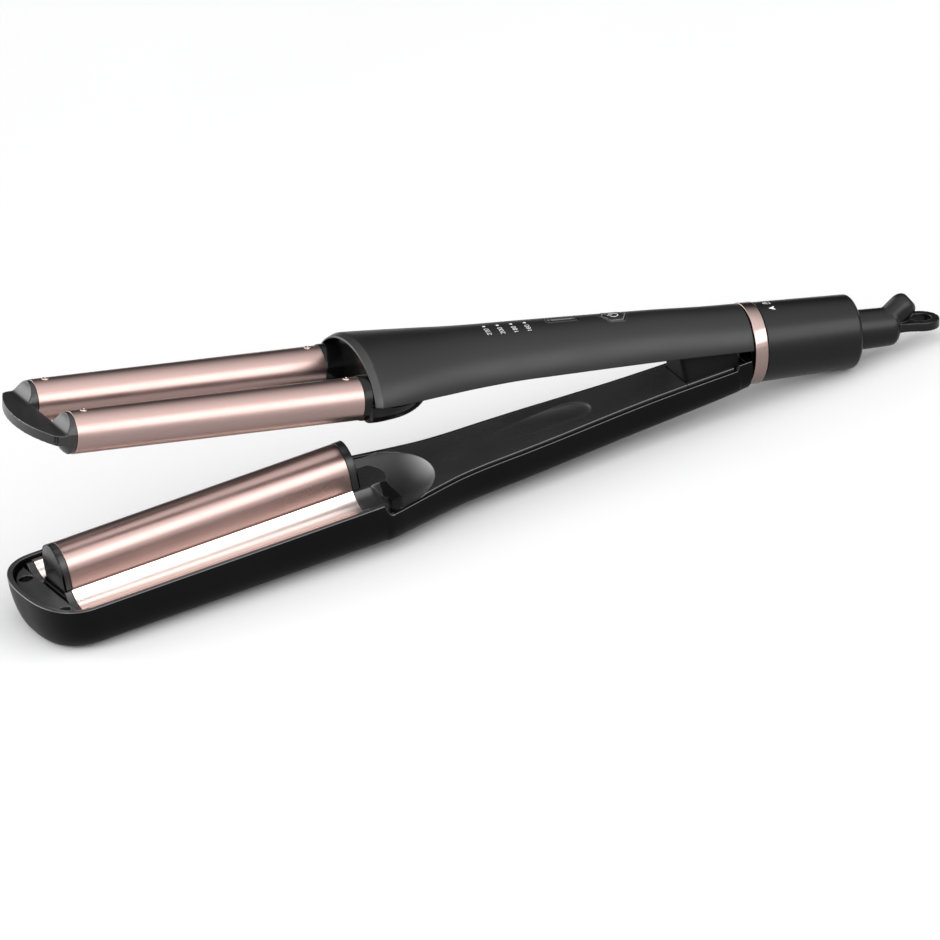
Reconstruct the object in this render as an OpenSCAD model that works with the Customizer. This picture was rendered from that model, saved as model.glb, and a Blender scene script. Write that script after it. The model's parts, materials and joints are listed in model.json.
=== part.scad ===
// Hair waver with two round heated barrels on the upper arm and a fixed
// centre barrel between two heated troughs on the lower arm.
// Both arms are drawn in one common frame as they sit when the waver is shut:
// X runs from the tip (-X) to the cord end (+X) along the axis of the round
// rear collar, Y is across, Z is up, and X = 0 is the front face of the trim
// ring. The lower arm is then turned open about the hinge pin, and the whole
// waver is laid down so that it rests on the nose of the lower shell and on
// the rear edge of the collar.

/* [Arms] */
// Angle between the arms when the waver lies open, degrees
open_angle = 13; // [10:0.5:13.5]
// Distance between the centres of the two upper barrels
barrel_pitch = 36.8; // [36.4:0.2:38]
// Heated length of the barrels and troughs that shows
barrel_len = 113; // [100:1:113]

/* [Barrels] */
// Outer diameter of each upper barrel
barrel_d = 16; // [15:0.1:16.2]
// Wall of the barrel tubes
barrel_wall = 1.0; // [0.8:0.1:1.4]
// Radius of the round top of the centre barrel
centre_r = 9.0; // [8:0.1:9.2]
// Height of the centre of that round top above the collar axis
centre_z = 5.2; // [3:0.1:6]
// Radius of the troughs
trough_r = 9.4; // [9:0.1:9.8]

/* [Handle] */
// Radius of the trim ring
ring_r = 15.05; // [14.9:0.05:15.6]
// Width of the trim ring
ring_w = 5; // [3:0.5:5]
// Radius of the lock collar at its front
collar_r1 = 14.6; // [14.4:0.1:15]
// Radius of the lock collar at its rear
collar_r2 = 13.5; // [13:0.1:14.4]
// Length of the lock collar
collar_len = 38; // [34:0.2:38]
// Wall of the plastic shells
shell_wall = 2.2; // [1.6:0.1:2.4]

/* [Hinge] */
// Diameter of the hinge pin
pin_d = 4; // [3:0.1:4.5]
// Running clearance of the pin, on radius
pin_gap = 0.06; // [0.03:0.01:0.1]

/* [Cord outlet and hanging loop] */
// Diameter of the cord hole in the swivel boot
cord_hole_d = 7; // [5:0.1:7.2]
// Diameter of the hole in the hanging loop
loop_hole_d = 8; // [6:0.1:9]

/* [Hidden] */

// ---- common numbers ----
px = -7;                     // hinge axis, in the shut frame
pz = -6;
tilt = 11.92;                 // lays the open waver down on its two resting edges
org_x = 106.1;                 // brings the middle of the footprint to the origin
org_z = 21.92;                // brings the resting edges to z = 0
tz = 3.5;                    // height of the upper barrels' axes above the collar axis
tub_z = 3.1;                 // height of the troughs' centres
ty = barrel_pitch / 2;
x_tr = -158.7;               // rear end of the bright part of the barrels
x_tf = x_tr - barrel_len;    // front end of the barrels
br = barrel_d / 2;

black = [0.09, 0.09, 0.095];
satin = [0.13, 0.13, 0.135];
rose = [0.72, 0.56, 0.52];
steel = [0.7, 0.7, 0.72];
alu = [0.78, 0.78, 0.8];

module in_world() { translate([org_x, 0, org_z]) rotate([0, tilt, 0]) children(); }
module upper() { in_world() children(); }
module lower() {
    in_world() translate([px, 0, pz]) rotate([0, -open_angle, 0]) translate([-px, 0, -pz]) children();
}

// ---- smooth curves through a few stations ----
function seg(t, x, i = 0) = (i >= len(t) - 2 || x < t[i + 1][0]) ? i : seg(t, x, i + 1);
function slope(t, i) = i == 0 ? (t[1][1] - t[0][1]) / (t[1][0] - t[0][0])
    : i == len(t) - 1 ? (t[i][1] - t[i - 1][1]) / (t[i][0] - t[i - 1][0])
    : (t[i + 1][1] - t[i - 1][1]) / (t[i + 1][0] - t[i - 1][0]);
function spl(t, x) = let (i = seg(t, x), h = t[i + 1][0] - t[i][0],
        s = max(0, min(1, (x - t[i][0]) / h)),
        m0 = slope(t, i) * h, m1 = slope(t, i + 1) * h)
    (2 * s * s * s - 3 * s * s + 1) * t[i][1] + (s * s * s - 2 * s * s + s) * m0
    + (3 * s * s - 2 * s * s * s) * t[i + 1][1] + (s * s * s - s * s) * m1;

// A closed solid through a list of rings, each a list of the same even number
// of points; strips between the first and second half of the points close the ends
module loft(rings) {
    n = len(rings[0]);
    m = len(rings);
    polyhedron(points = [for (r = rings) each r], faces = concat(
        [for (j = [0 : n / 2 - 2]) [n - 1 - j, n - 2 - j, j + 1, j]],
        [for (j = [0 : n / 2 - 2]) let (o = (m - 1) * n) [o + j, o + j + 1, o + n - 2 - j, o + n - 1 - j]],
        [for (i = [0 : m - 2]) for (j = [0 : n - 1]) let (k = (j + 1) % n)
            each [[i * n + j, i * n + k, (i + 1) * n + j], [i * n + k, (i + 1) * n + k, (i + 1) * n + j]]]),
        convexity = 8);
}

module xcyl(r, x0, x1, y = 0, z = 0, r2 = -1, fn = 64) {
    translate([x0, y, z]) rotate([0, 90, 0]) cylinder(r1 = r, r2 = r2 < 0 ? r : r2, h = x1 - x0, $fn = fn);
}
module ycyl(r, x, z, y0, y1, fn = 48) {
    translate([x, y1, z]) rotate([90, 0, 0]) cylinder(r = r, h = y1 - y0, $fn = fn);
}
module box(x0, x1, y0, y1, z0, z1) { translate([x0, y0, z0]) cube([x1 - x0, y1 - y0, z1 - z0]); }

// ================= upper arm =================

// Half width and height of the upper housing's oval section, and the height
// of its lower edge
up_a = [[-160, 30.4], [-152.5, 30], [-146, 29.1], [-137, 27], [-128.5, 24.7], [-113, 21.3],
    [-95, 19.2], [-79, 18], [-63, 16.8], [-46, 15.7], [-30, 15], [-14, 14.8], [0, 14.8]];
up_b = [[-160, 20.2], [-152.5, 20], [-128, 19.4], [-110, 18.7], [-82, 18], [-36, 16.5], [-14, 15.3], [0, 14.8]];
up_e = [[-160, 2.6], [-125, 2.4], [-110, 2.6], [-95, 2.9], [-82, 2.8], [-46, 2.4], [0, 2.0]];

function arch(x, da, db, e, n) = [for (i = [0 : n]) let (a = spl(up_a, x) - da, b = spl(up_b, x) - db,
    p = acos(max(-1, min(1, e / b))), q = -p + 2 * p * i / n) [x, a * sin(q), b * cos(q)]];
function arch_back(x, da, db, e, n) = let (v = arch(x, da, db, e, n)) [for (i = [n : -1 : 0]) v[i]];
function house_ring(x, d, w) = concat(arch(x, d, d, spl(up_e, x), 26), arch_back(x, w, w, spl(up_e, x), 26));

module upper_housing() {
    upper() color(black) difference() {
        loft(concat([house_ring(-155.4, 1.2, 1.9)],
            [for (x = [-152.6, -146, -140, -134, -128, -121, -113, -104, -95, -84, -72, -60, -48, -36, -24, -12, -0.4])
                house_ring(x, 0, x < -139 ? 1.8 : shell_wall)]));
        translate([-50.5, 0, 8]) cylinder(r = 5.5, h = 14, $fn = 6);
        box(-77.6, -64.4, -2.3, 2.3, 8, 24);
        for (i = [0 : 3]) translate([-101.4 + 5.33 * i, 0, 8]) cylinder(r = 0.85, h = 16, $fn = 24);
    }
}

// Flat cover that closes the underside of the upper housing ahead of the hinge
function cover_w(x, z) = let (a = spl(up_a, x) - shell_wall - 0.45, b = spl(up_b, x) - shell_wall - 0.45)
    a * sqrt(1 - z * z / (b * b));
cover_holes = [[-104, -10.4], [-104, 10.4], [-44, -7.2], [-44, 7.2]];
module upper_inner_cover() {
    xs = [-131, -124, -117, -109, -100, -90, -78, -66, -54, -42, -30];
    upper() color(satin) difference() {
        union() {
            translate([0, 0, 3.2]) linear_extrude(2) polygon(concat(
                [for (x = xs) [x, cover_w(x, 5.4)]],
                [for (i = [len(xs) - 1 : -1 : 0]) [xs[i], -cover_w(xs[i], 5.4)]]));
            for (p = cover_holes) translate([p[0], p[1], 5.1]) cylinder(r = 2.1, h = 3.4, $fn = 32);
        }
        for (p = cover_holes) translate([p[0], p[1], 0]) cylinder(r = 1.15, h = 12, $fn = 32);
    }
}

module cover_screws() {
    upper() color(steel) for (p = cover_holes) translate([p[0], p[1], 0]) difference() {
        union() {
            translate([0, 0, 1.9]) cylinder(r = 2, h = 1.3, $fn = 32);
            translate([0, 0, 3.1]) cylinder(r = 1.1, h = 4.8, $fn = 32);
        }
        translate([0, 0, 1.5]) cylinder(r = 0.8, h = 1.1, $fn = 6);
    }
}

// Heat-proof socket that holds both barrels, with a half-round lobe under each
module tube_socket() {
    upper() color(black) difference() {
        union() {
            for (s = [-1, 1]) {
                intersection() {
                    union() {
                        xcyl(9.6, -154.4, -147.7, s * ty, tz);
                        xcyl(8.85, -156, -154, s * ty, tz);
                    }
                    box(-157, -120, -40, 40, -20, 2.25);
                }
                xcyl(8.85, x_tr, -155.5, s * ty, tz);
            }
            // bulkhead behind the barrels
            translate([-151.8, 0, 0]) rotate([90, 0, 90]) linear_extrude(2.6) polygon(concat(
                [for (i = [0 : 16]) let (p = 76, q = -p + 2 * p * i / 16) [25.4 * sin(q), 16.2 * cos(q)]], [[24.6, 2.1], [-24.6, 2.1]]));
            // floor that closes the front of the housing
            translate([0, 0, 2.05]) linear_extrude(2.6) polygon([
                [-151.6, 26], [-144, cover_w(-144, 5.4)], [-138, cover_w(-138, 5.4)], [-131.6, cover_w(-131.6, 5.4)],
                [-131.6, -cover_w(-131.6, 5.4)], [-138, -cover_w(-138, 5.4)], [-144, -cover_w(-144, 5.4)], [-151.6, -26]]);
        }
        for (s = [-1, 1]) {
            xcyl(br + 0.02, -160, -152.4, s * ty, tz);
            xcyl(5, -153, -145, s * ty, tz);
        }
    }
}
// Round-bottomed cover under the socket, hollow, with a notch for the tongue
// behind the centre barrel
function belly_k(x) = pow(1 - pow((x + 150) / 19.5, 2.6), 1 / 2.6);
function belly_y(w, c, m) = concat([for (i = [0 : 7]) -c - (w - c) * cos(i * 90 / 7)], [-0.97 * m, -0.5 * m, 0, 0.5 * m, 0.97 * m],
    [for (i = [7 : -1 : 0]) c + (w - c) * cos(i * 90 / 7)]);
function belly_line(x, t) = let (k = belly_k(x), w = 29 * k - t, d = x > -133 && t > 0 ? 0.3 : 11.7 * k - t, m = min(10.2, 0.38 * 29 * k))
    [for (y = belly_y(w, m + 0.8 * t * k, m)) [x, y, x < -141 && abs(y) < 10.1 ? 0.2 + t : 2 - d * sqrt(max(0, 1 - pow(y / w, 2)))]];
module socket_belly() {
    upper() color(black) loft([for (x = [-147.6, -144.5, -141.3, -140.7, -138.5, -136.2, -134.2, -132.6, -131.4, -130.8])
        let (v = belly_line(x, 0), n = len(v)) concat(belly_line(x, 1.75), [for (i = [n - 1 : -1 : 0]) v[i]])]);
}

module barrel(s) {
    color(rose) difference() {
        xcyl(br, x_tf, -152.5, s * ty, tz);
        xcyl(br - barrel_wall, x_tf - 1, -150, s * ty, tz);
        for (x = [x_tf + 5.4, x_tr - 4.3]) translate([x, s * ty, tz]) cylinder(r = 0.85, h = 12, $fn = 32);
    }
}
module barrel_left() { upper() barrel(-1); }
module barrel_right() { upper() barrel(1); }

module barrel_screws() {
    upper() color(steel) for (s = [-1, 1]) for (x = [x_tf + 5.4, x_tr - 4.3])
        translate([x, s * ty, tz + br - 2.4]) {
            cylinder(r = 0.8, h = 2.5, $fn = 32);
            translate([0, 0, 2.42]) difference() {
                intersection() {
                    cylinder(r = 1.25, h = 1.2, $fn = 32);
                    translate([0, 0, -1.2]) sphere(r = 2.2, $fn = 48);
                }
                translate([-0.15, -2, 0.75]) cube([0.3, 4, 1]);
            }
        }
}

// Half-round aluminium bars that press against the inside of each barrel,
// above and below the flat heater
module spreader(s) {
    color(alu) intersection() {
        xcyl(br - barrel_wall - 0.05, x_tf + 12, -153, s * ty, tz);
        union() {
            box(x_tf, -150, s * ty - 8, s * ty + 8, tz + 1.2, tz + 5);
            box(x_tf, -150, s * ty - 8, s * ty + 8, tz - 8, tz - 1.2);
        }
    }
}
module heat_spreader_left() { upper() spreader(-1); }
module heat_spreader_right() { upper() spreader(1); }
module ptc(s) { color("ivory") box(x_tf + 14, -155, s * ty - 4.5, s * ty + 4.5, tz - 1.15, tz + 1.15); }
module ptc_heater_left() { upper() ptc(-1); }
module ptc_heater_right() { upper() ptc(1); }

// Crescent that ties the two barrels together at the tip
module plug(s) {
    translate([x_tf, s * ty, tz]) rotate([0, -90, 0]) rotate_extrude($fn = 64)
        polygon([[0, -9], [6.5, -9], [br - barrel_wall - 0.05, -8.5], [br - barrel_wall - 0.05, 0], [br - 0.25, 0],
            [br - 0.15, 1.5], [7.3, 2.3], [6.4, 3.2], [5.2, 4.0], [3.6, 4.7], [0, 5.2]]);
}
module tip_bridge() {
    upper() color(satin) difference() {
        union() {
            for (s = [-1, 1]) {
                plug(s);
                intersection() {
                    xcyl(br - 0.25, x_tf - 5.4, x_tf, s * ty, tz);
                    box(-290, -270, s * ty - 10, s * ty + 10, 4, 12);
                }
            }
            intersection() {
                translate([-221.1, 0, 1.5]) cylinder(r = 64, h = 3.9, $fn = 192);
                union() {
                    for (s = [-1, 1]) translate([-276.6, s * 21, 0]) cylinder(r = 5.6, h = 8, $fn = 64);
                    box(-290, -274.9, -21, 21, 0, 8);
                    for (s = [-1, 1]) box(-276.6, x_tf - 0.3, s > 0 ? 21 - 9 : -26.2, s > 0 ? 26.2 : -21 + 9, 0, 8);
                }
            }
        }
        // hollow ramp from the top of each plug down to the crescent
        for (s = [-1, 1]) intersection() {
            ycyl(7.6, -280, 12.2, s * ty - 10, s * ty + 10, 96);
            box(-290, -271, s * ty - 11, s * ty + 11, 5.4, 24);
        }
        for (s = [-1, 1]) translate([x_tf + 5.4, s * ty, tz]) cylinder(r = 0.85, h = 12, $fn = 32);
    }
}

// ---- electronics and buttons ----
module control_pcb() {
    upper() color("darkgreen") difference() {
        box(-110, -38, -8, 8, 9, 10.6);
        for (x = [-107, -41]) for (s = [-1, 1]) translate([x, s * 5.5, 8]) cylinder(r = 1.1, h = 4, $fn = 32);
    }
}
module tact_switches() {
    upper() color([0.2, 0.2, 0.2]) for (x = [-75, -67, -50.5]) translate([x, 0, 10.6]) {
        translate([-3, -3, 0]) cube([6, 6, 2.2]);
        cylinder(r = 1.4, h = 3.1, $fn = 32);
    }
}
module power_button() {
    upper() color(satin) union() {
        intersection() {
            translate([-50.5, 0, 14.6]) cylinder(r = 5.25, h = 5, $fn = 6);
            xcyl(15.2, -60, -40, 0, 2.0, fn = 96);
        }
        translate([-50.5, 0, 14.4]) cylinder(r = 1.6, h = 1, $fn = 32);
    }
}
module temperature_rocker() {
    upper() color(satin) intersection() {
        box(-77.3, -64.7, -2, 2, 14.3, 20);
        translate([0, 0, 2.6]) rotate([0, 1.4, 0]) translate([0, 0, 1.72]) xcyl(15, -85, -55, 0, -1.72, fn = 96);
    }
}
module led_lenses() {
    upper() color("white") for (i = [0 : 3]) translate([-101.4 + 5.33 * i, 0, 10.8])
        cylinder(r = 0.8, h = spl(up_b, -101.4 + 5.33 * i) - 10.7, $fn = 24);
}

// ---- hinge ----
module hinge_bracket() {
    upper() color(steel) difference() {
        union() {
            for (s = [-1, 1]) translate([0, s * 6.4, 0]) {
                box(px - 3.6, px + 3.6, -1.25, 1.25, pz, 9.5);
                ycyl(3.6, px, pz, -1.25, 1.25);
            }
            box(-24, -3.6, -7.65, 7.65, 8, 10);
        }
        for (s = [-1, 1]) ycyl(pin_d / 2 + pin_gap, px, pz, s * 6.4 - 3, s * 6.4 + 3);
        translate([-21.5, 0, 6]) cylinder(r = 1.2, h = 6, $fn = 32);
    }
}
module hinge_pin() {
    upper() color(steel) difference() {
        ycyl(pin_d / 2, px, pz, -9.3, 9.3);
        for (s = [-1, 1]) ycyl(0.6, px, pz, s * 8.9 - 0.6, s * 8.9 + 0.6, 24);
    }
}
// Coil that pushes the arms apart, standing between the bracket and the hinge block
spring_r = 3.7;
spring_w = 0.55;
module opening_spring() {
    turns = 6;
    z0 = -10.3;
    z1 = 7.4;
    n = 16;
    upper() color(steel) loft([for (i = [0 : turns * n]) let (t = i / (turns * n), a = 360 * turns * t,
            h = z0 + spring_w + (z1 - z0 - 2 * spring_w) * (t < 0.12 ? t * 0.5 : t > 0.88 ? 1 - (1 - t) * 0.5 : 0.06 + (t - 0.12) * 0.88 / 0.76))
        [for (j = [0 : 5]) let (b = 60 * j) [-16.6 + (spring_r + spring_w * cos(b)) * cos(a), (spring_r + spring_w * cos(b)) * sin(a), h + spring_w * sin(b)]]]);
}

// ---- rear end ----
module rear_neck() {
    upper() color(black) difference() {
        union() {
            xcyl(12.3, 0, 40, fn = 96);
            intersection() { xcyl(12.2, -3, 1, fn = 96); box(-12, 1, -14, 14, 4, 14); }
            xcyl(13.2, 4.4, 5.0, fn = 96);
        }
        xcyl(10.3, -1, 41, fn = 96);
        xcyl(10.3, -4, 1, fn = 96);
    }
}
module trim_ring() {
    upper() color(rose) rotate([0, 90, 0]) rotate_extrude($fn = 128)
        polygon([[12.34, 0], [ring_r - 0.35, 0], [ring_r, 0.35], [ring_r, ring_w - 0.35], [ring_r - 0.35, ring_w],
            [13.3, ring_w], [13.3, 4.3], [12.34, 4.3]]);
}
module lock_collar() {
    upper() color(black) translate([5.3, 0, 0]) rotate([0, 90, 0]) rotate_extrude($fn = 128) polygon([
        [12.36, 0], [collar_r1 - 0.3, 0], [collar_r1, 0.3], [collar_r2 + 0.04, collar_len - 1.3], [collar_r2 - 0.3, collar_len - 0.4],
        [collar_r2 - 1.0, collar_len], [7.9, collar_len], [7.9, collar_len - 2.2], [12.0, collar_len - 2.2],
        [12.36, collar_len - 2.6]]);
}
module swivel_retainer() {
    upper() color(satin) difference() {
        xcyl(10.26, 35.2, 38.8, fn = 96);
        xcyl(6.06, 34, 40, fn = 64);
    }
}
// Swivelling cord outlet: hub, flared boot and hanging loop in one moulding
boot_a = 39;
module cord_swivel() {
    upper() color(black) difference() {
        union() {
            xcyl(6, 33, 41);
            xcyl(9.6, 32.8, 34.9);
            translate([40.6, 0, 0]) rotate([0, 90, 0]) rotate_extrude($fn = 64)
                polygon([[0, 0], [7.5, 0], [7.05, 17.6], [6.4, 19.2], [4.6, 20.3], [0, 20.8]]);
            // flared boot
            translate([54.9, 0, 0]) rotate([0, 90 - boot_a, 0]) rotate_extrude($fn = 64)
                polygon([[0, 0], [4.8, 0], [4.9, 6], [5.1, 13.2], [4.95, 14.1], [4.6, 14.7], [4.1, 15.1], [3.7, 15.2], [0, 15.2]]);
            // loop
            translate([70.8, 0, -1.2]) cylinder(r = 7, h = 3.4, $fn = 64);
            box(56, 70, -5, 5, -1.2, 2.2);
        }
        translate([70.8, 0, -2]) cylinder(r = loop_hole_d / 2, h = 6, $fn = 64);
        xcyl(cord_hole_d / 2, 30, 54.9);
        translate([54.9, 0, 0]) sphere(r = cord_hole_d / 2, $fn = 48);
        translate([54.9, 0, 0]) rotate([0, 90 - boot_a, 0]) cylinder(r = cord_hole_d / 2, h = 20, $fn = 64);
    }
}
module terminal_block() {
    upper() color("ivory") difference() {
        box(8, 20, -6, 6, -4, 4);
        for (y = [-3, 3]) {
            xcyl(1.5, 7, 21, y, 0, fn = 32);
            for (x = [11, 17]) translate([x, y, 1]) cylinder(r = 1.2, h = 4, $fn = 32);
        }
    }
}

// ================= lower arm =================

// Half width of the lower shell at its rim, height of the rim and of the bottom
lo_w = [[-270, 32.1], [-156, 32.1], [-150, 31.2], [-144, 29.2], [-136, 26.6], [-128.5, 24.2], [-120, 21.9], [-110, 20.5],
    [-95.5, 19.6], [-79, 18.3], [-63, 16.6], [-46, 15], [-30, 14.2], [-14, 13.9], [0, 13.8]];
lo_b = [[-270, -18.3], [-160, -18.3], [-133, -18.8], [-112, -18.9], [-81, -18.3], [-42, -17.9], [-18, -17.1], [0, -15.9]];
lo_i = [[-270, 14], [-160, 14], [-120, 12.4], [-80, 11.4], [0, 10.4]];
function rim_z(x) = x <= -155.2 ? -0.8 : x >= -152.4 ? (x < -6.4 ? -5.4 : x > -5.4 ? -3.5 : -5.4 + 1.9 * (x + 6.4))
    : -0.8 - 4.6 * (1 - pow(1 - (x + 155.2) / 2.8, 2));
nose_m = 2.45;

// One level of the tub. f: 0 at the rim to 1 at the bottom, t: wall inset, up: lift of the bottom
function bulge(f, n = 2.5) = 1 - pow(1 - pow(f, n), 1 / n);
function lo_half(f, t, up) = concat(
    [for (k = [0 : 9]) let (a = 10 * k, i = t + bulge(f) * (14 - 3.5 * pow(cos(a), 2)), ln = 17.5 - t - 0.2 * (i - t), xc = -270.15 + 0.3 * (i - t),
            x = xc - ln * pow(cos(a), 2 / nose_m), y = (32.1 - i) * pow(sin(a), 2 / nose_m))
        [x, y, rim_z(x) - f * (rim_z(x) - lo_b[0][1] - up)]],
    [for (x = [-258, -240, -220, -200, -180, -165, -155.2, -154.3, -153.4, -152.4, -149, -145, -141, -136, -131, -126, -120, -113, -104, -95, -84,
            -72, -60, -48, -36, -24, -14, -6.4, -5.4])
        let (z = rim_z(x) - f * (rim_z(x) - spl(lo_b, x) - up)) [x, spl(lo_w, x) - t - bulge(f) * spl(lo_i, x), z]],
    let (z = -3.5 - f * (-3.5 - spl(lo_b, -1) - up)) [[
        px + (6.5 + min(0, z - pz) * sin(open_angle)) / cos(open_angle) - t - (t > 0 ? 0 : 0.0), spl(lo_w, -1) - t - bulge(f) * spl(lo_i, -1), z]]);
function lo_loop(f, t, up) = let (h = lo_half(f, t, up), n = len(h)) concat(h, [for (i = [n - 1 : -1 : 1]) [h[i][0], -h[i][1], h[i][2]]]);

// Tub: a stack of loops whose two ends are closed by strips across the width
module tub(loops) {
    n = len(loops[0]);
    m = len(loops);
    h = (n + 1) / 2;   // points on one side, the nose point included
    function mir(i) = i == 0 ? 0 : n - i;
    polyhedron(points = [for (r = loops) each r], faces = concat(
        [for (i = [0 : m - 2]) for (j = [0 : n - 1]) let (k = (j + 1) % n)
            each [[i * n + j, i * n + k, (i + 1) * n + j], [i * n + k, (i + 1) * n + k, (i + 1) * n + j]]],
        [for (j = [0 : h - 2]) each (j == 0 ? [[0, mir(1), 1]]
            : [[j, mir(j), j + 1], [j + 1, mir(j), mir(j + 1)]])],
        [for (j = [0 : h - 2]) let (o = (m - 1) * n) each (j == 0 ? [[o, o + 1, o + mir(1)]]
            : [[o + j, o + j + 1, o + mir(j)], [o + j + 1, o + mir(j + 1), o + mir(j)]])]),
        convexity = 10);
}
module lower_shell() {
    lower() color(black) difference() {
        tub(concat(
            [for (f = [1, 0.985, 0.93, 0.83, 0.68, 0.5, 0.28, 0]) lo_loop(f, 0, 0)],
            [for (f = [0, 0.3, 0.6, 0.82, 0.95, 1]) lo_loop(f, shell_wall, 2)]));
        for (x = [-225, -185]) translate([x, 0, -25]) cylinder(r = 1.6, h = 10, $fn = 32);
    }
}

// Deck that closes the handle part of the lower shell: a bowl clears the upper
// bellies, and a long shallow hollow takes the thumb
deck_z = -4.6;
function deck_w(x) = spl(lo_w, x) - shell_wall - 0.35;
function bowl(x, y) = let (r = pow((x + 149) / 24, 2) + pow(y / 28.4, 2)) r >= 1 ? 0 : 6.4 * pow(1 - r, 0.75);
function thumb(x, y) = let (u = x > -68 ? (x + 68) / 8 : (x + 68) / 34, r = u * u + pow(y / 8.5, 2)) r >= 1 ? 0 : 1.1 * (1 - r) * (1 - r) * (x > -68 ? 1 : 1) + 0.25 * (1 - r);
function deck_top(x, y) = deck_z - bowl(x, y) - thumb(x, y) - 0.0006 * y * y - 0.00001 * pow(x + 90, 2);
deck_x = [-148, -145, -142, -139, -136, -133, -130, -127.5, -125.5, -123, -116, -108, -100, -92, -84, -77, -71, -67, -64.5, -62.5, -61, -59.6, -54, -44, -34, -25.7];
deck_v = [-1, -0.94, -0.86, -0.76, -0.65, -0.54, -0.43, -0.32, -0.21, -0.1, 0, 0.1, 0.21, 0.32, 0.43, 0.54, 0.65, 0.76, 0.86, 0.94, 1];
module lower_deck() {
    n = len(deck_v);
    lower() color(satin) loft([for (x = deck_x) concat(
            [for (i = [0 : n - 1]) let (y = deck_v[i] * deck_w(x)) [x, y, deck_top(x, y)]],
            [for (i = [n - 1 : -1 : 0]) let (y = deck_v[i] * deck_w(x)) [x, y, deck_top(x, y) - 1.8 - (abs(deck_v[i]) == 1 ? 0.6 : 0)]])]);
}
module hinge_block() {
    lower() color(satin) difference() {
        intersection() {
            box(-25.4, -4.2, -10.2, 10.2, -10, 7);
            union() { xcyl(12.3, -30, 0, 0, 0, fn = 96); box(-30, 0, -20, 20, -20, 0); }
        }
        box(-22.6, 1, -8, 8, -9.0, 12);
        box(-12, 1, -8, 8, -14, 12);
        ycyl(pin_d / 2 + pin_gap, px, pz, -9.4, 9.4);
    }
}

// ---- lower heater parts ----
module dee(r, x0, x1, z0) {
    intersection() { xcyl(r, x0, x1, 0, centre_z, fn = 96); box(x0 - 1, x1 + 1, -r - 1, r + 1, centre_z, 40); }
    box(x0, x1, -r, r, z0, centre_z);
}
module centre_barrel() {
    lower() color(rose) difference() {
        dee(centre_r, x_tf + 0.7, -158.4, -1.5);
        dee(centre_r - 1.2, x_tf, -157, -3);
    }
}
module centre_front_cap() {
    lower() color(satin) union() {
        dee(centre_r + 0.1, x_tf - 2.3, x_tf + 0.6, -2.0);
        dee(centre_r - 1.3, x_tf + 0.5, x_tf + 6, -1.4);
    }
}
module centre_rear_cap() {
    lower() color(satin) union() {
        dee(centre_r + 0.1, -158.3, -155.3, -1.3);
        dee(centre_r - 1.3, -163, -158.2, -1.2);
    }
}
module centre_spreader() {
    lower() color(alu) difference() {
        dee(centre_r - 1.25, x_tf + 9, -164, -1.4);
        box(x_tf, -150, -1.4, 1.4, -4, 9.4);
    }
}
module centre_ptc_heater() { lower() color("ivory") box(x_tf + 12, -167, -1.2, 1.2, -1.2, 8.6); }

module trough(s) {
    color(rose) difference() {
        union() {
            intersection() {
                xcyl(trough_r + 1, x_tf, x_tr - 0.2, s * ty, tub_z, fn = 96);
                box(x_tf - 1, -150, s * ty - 9.2, s * ty + 8.4, -20, -1.1);
            }
            box(x_tf, x_tr - 0.2, s > 0 ? 26.0 : -29.4, s > 0 ? 29.4 : -26.0, -3.1, -2.1);
        }
        xcyl(trough_r, x_tf - 1, -150, s * ty, tub_z, fn = 96);
    }
}
module trough_plate_left() { lower() trough(-1); }
module trough_plate_right() { lower() trough(1); }

// Floor of the nose with two shallow round dimples
function nose_in(t) = [for (k = [-9 : 9]) let (a = 10 * k) [-270.15 - (17.5 - t) * pow(cos(a), 2 / nose_m),
    (32.1 - t) * sign(a) * pow(abs(sin(a)), 2 / nose_m)]];
module nose_floor() {
    lower() color(satin) difference() {
        translate([0, 0, -5.3]) linear_extrude(2) polygon(concat([[x_tf - 3.9, -28.6]], [for (p = nose_in(2.95)) if (p[0] < x_tf - 4) p], [[x_tf - 3.9, 28.6]]));
        for (s = [-1, 1]) translate([-278.8, s * 17.9, -4.3]) cylinder(r = 2.6, h = 3, $fn = 64);
    }
}
// Strip with two hollows that ends the troughs at the nose
module front_end_trim() {
    lower() color(satin) difference() {
        box(x_tf - 2.8, x_tf - 0.1, -28, 28, -8.2, -1.2);
        for (s = [-1, 1]) xcyl(trough_r + 0.2, x_tf - 4, x_tf + 1, s * ty, tub_z, fn = 96);
        box(x_tf - 4, x_tf + 1, -9.3, 9.3, -3.1, 0);
        box(x_tf - 4, x_tf + 1, -40, -26.6, -2.1, 0);
        box(x_tf - 4, x_tf + 1, 26.6, 40, -2.1, 0);
    }
}
// Saddle behind the troughs, with a flat tongue behind the centre barrel
module rear_saddle() {
    lower() color(satin) difference() {
        union() {
            box(-158.7, -148.3, -28.1, 28.1, -9.6, -1.6);
            intersection() {
                translate([-159.2, 0, -9.7]) cylinder(r = 16.5, h = 8.1, $fn = 96);
                box(-149, -142, -9.3, 9.3, -9.7, -1.6);
            }
        }
        for (s = [-1, 1]) xcyl(9.9, -160, -147, s * ty, tub_z, fn = 96);
        box(-160, -155.1, -9.3, 9.3, -1.5, 3);
        box(-160, -147, 25.6, 40, -2.9, 0);
        box(-160, -147, -40, -25.6, -2.9, 0);
        box(-154, -147, 27.1, 40, -20, 0);
        box(-154, -147, -40, -27.1, -20, 0);
    }
}
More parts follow.
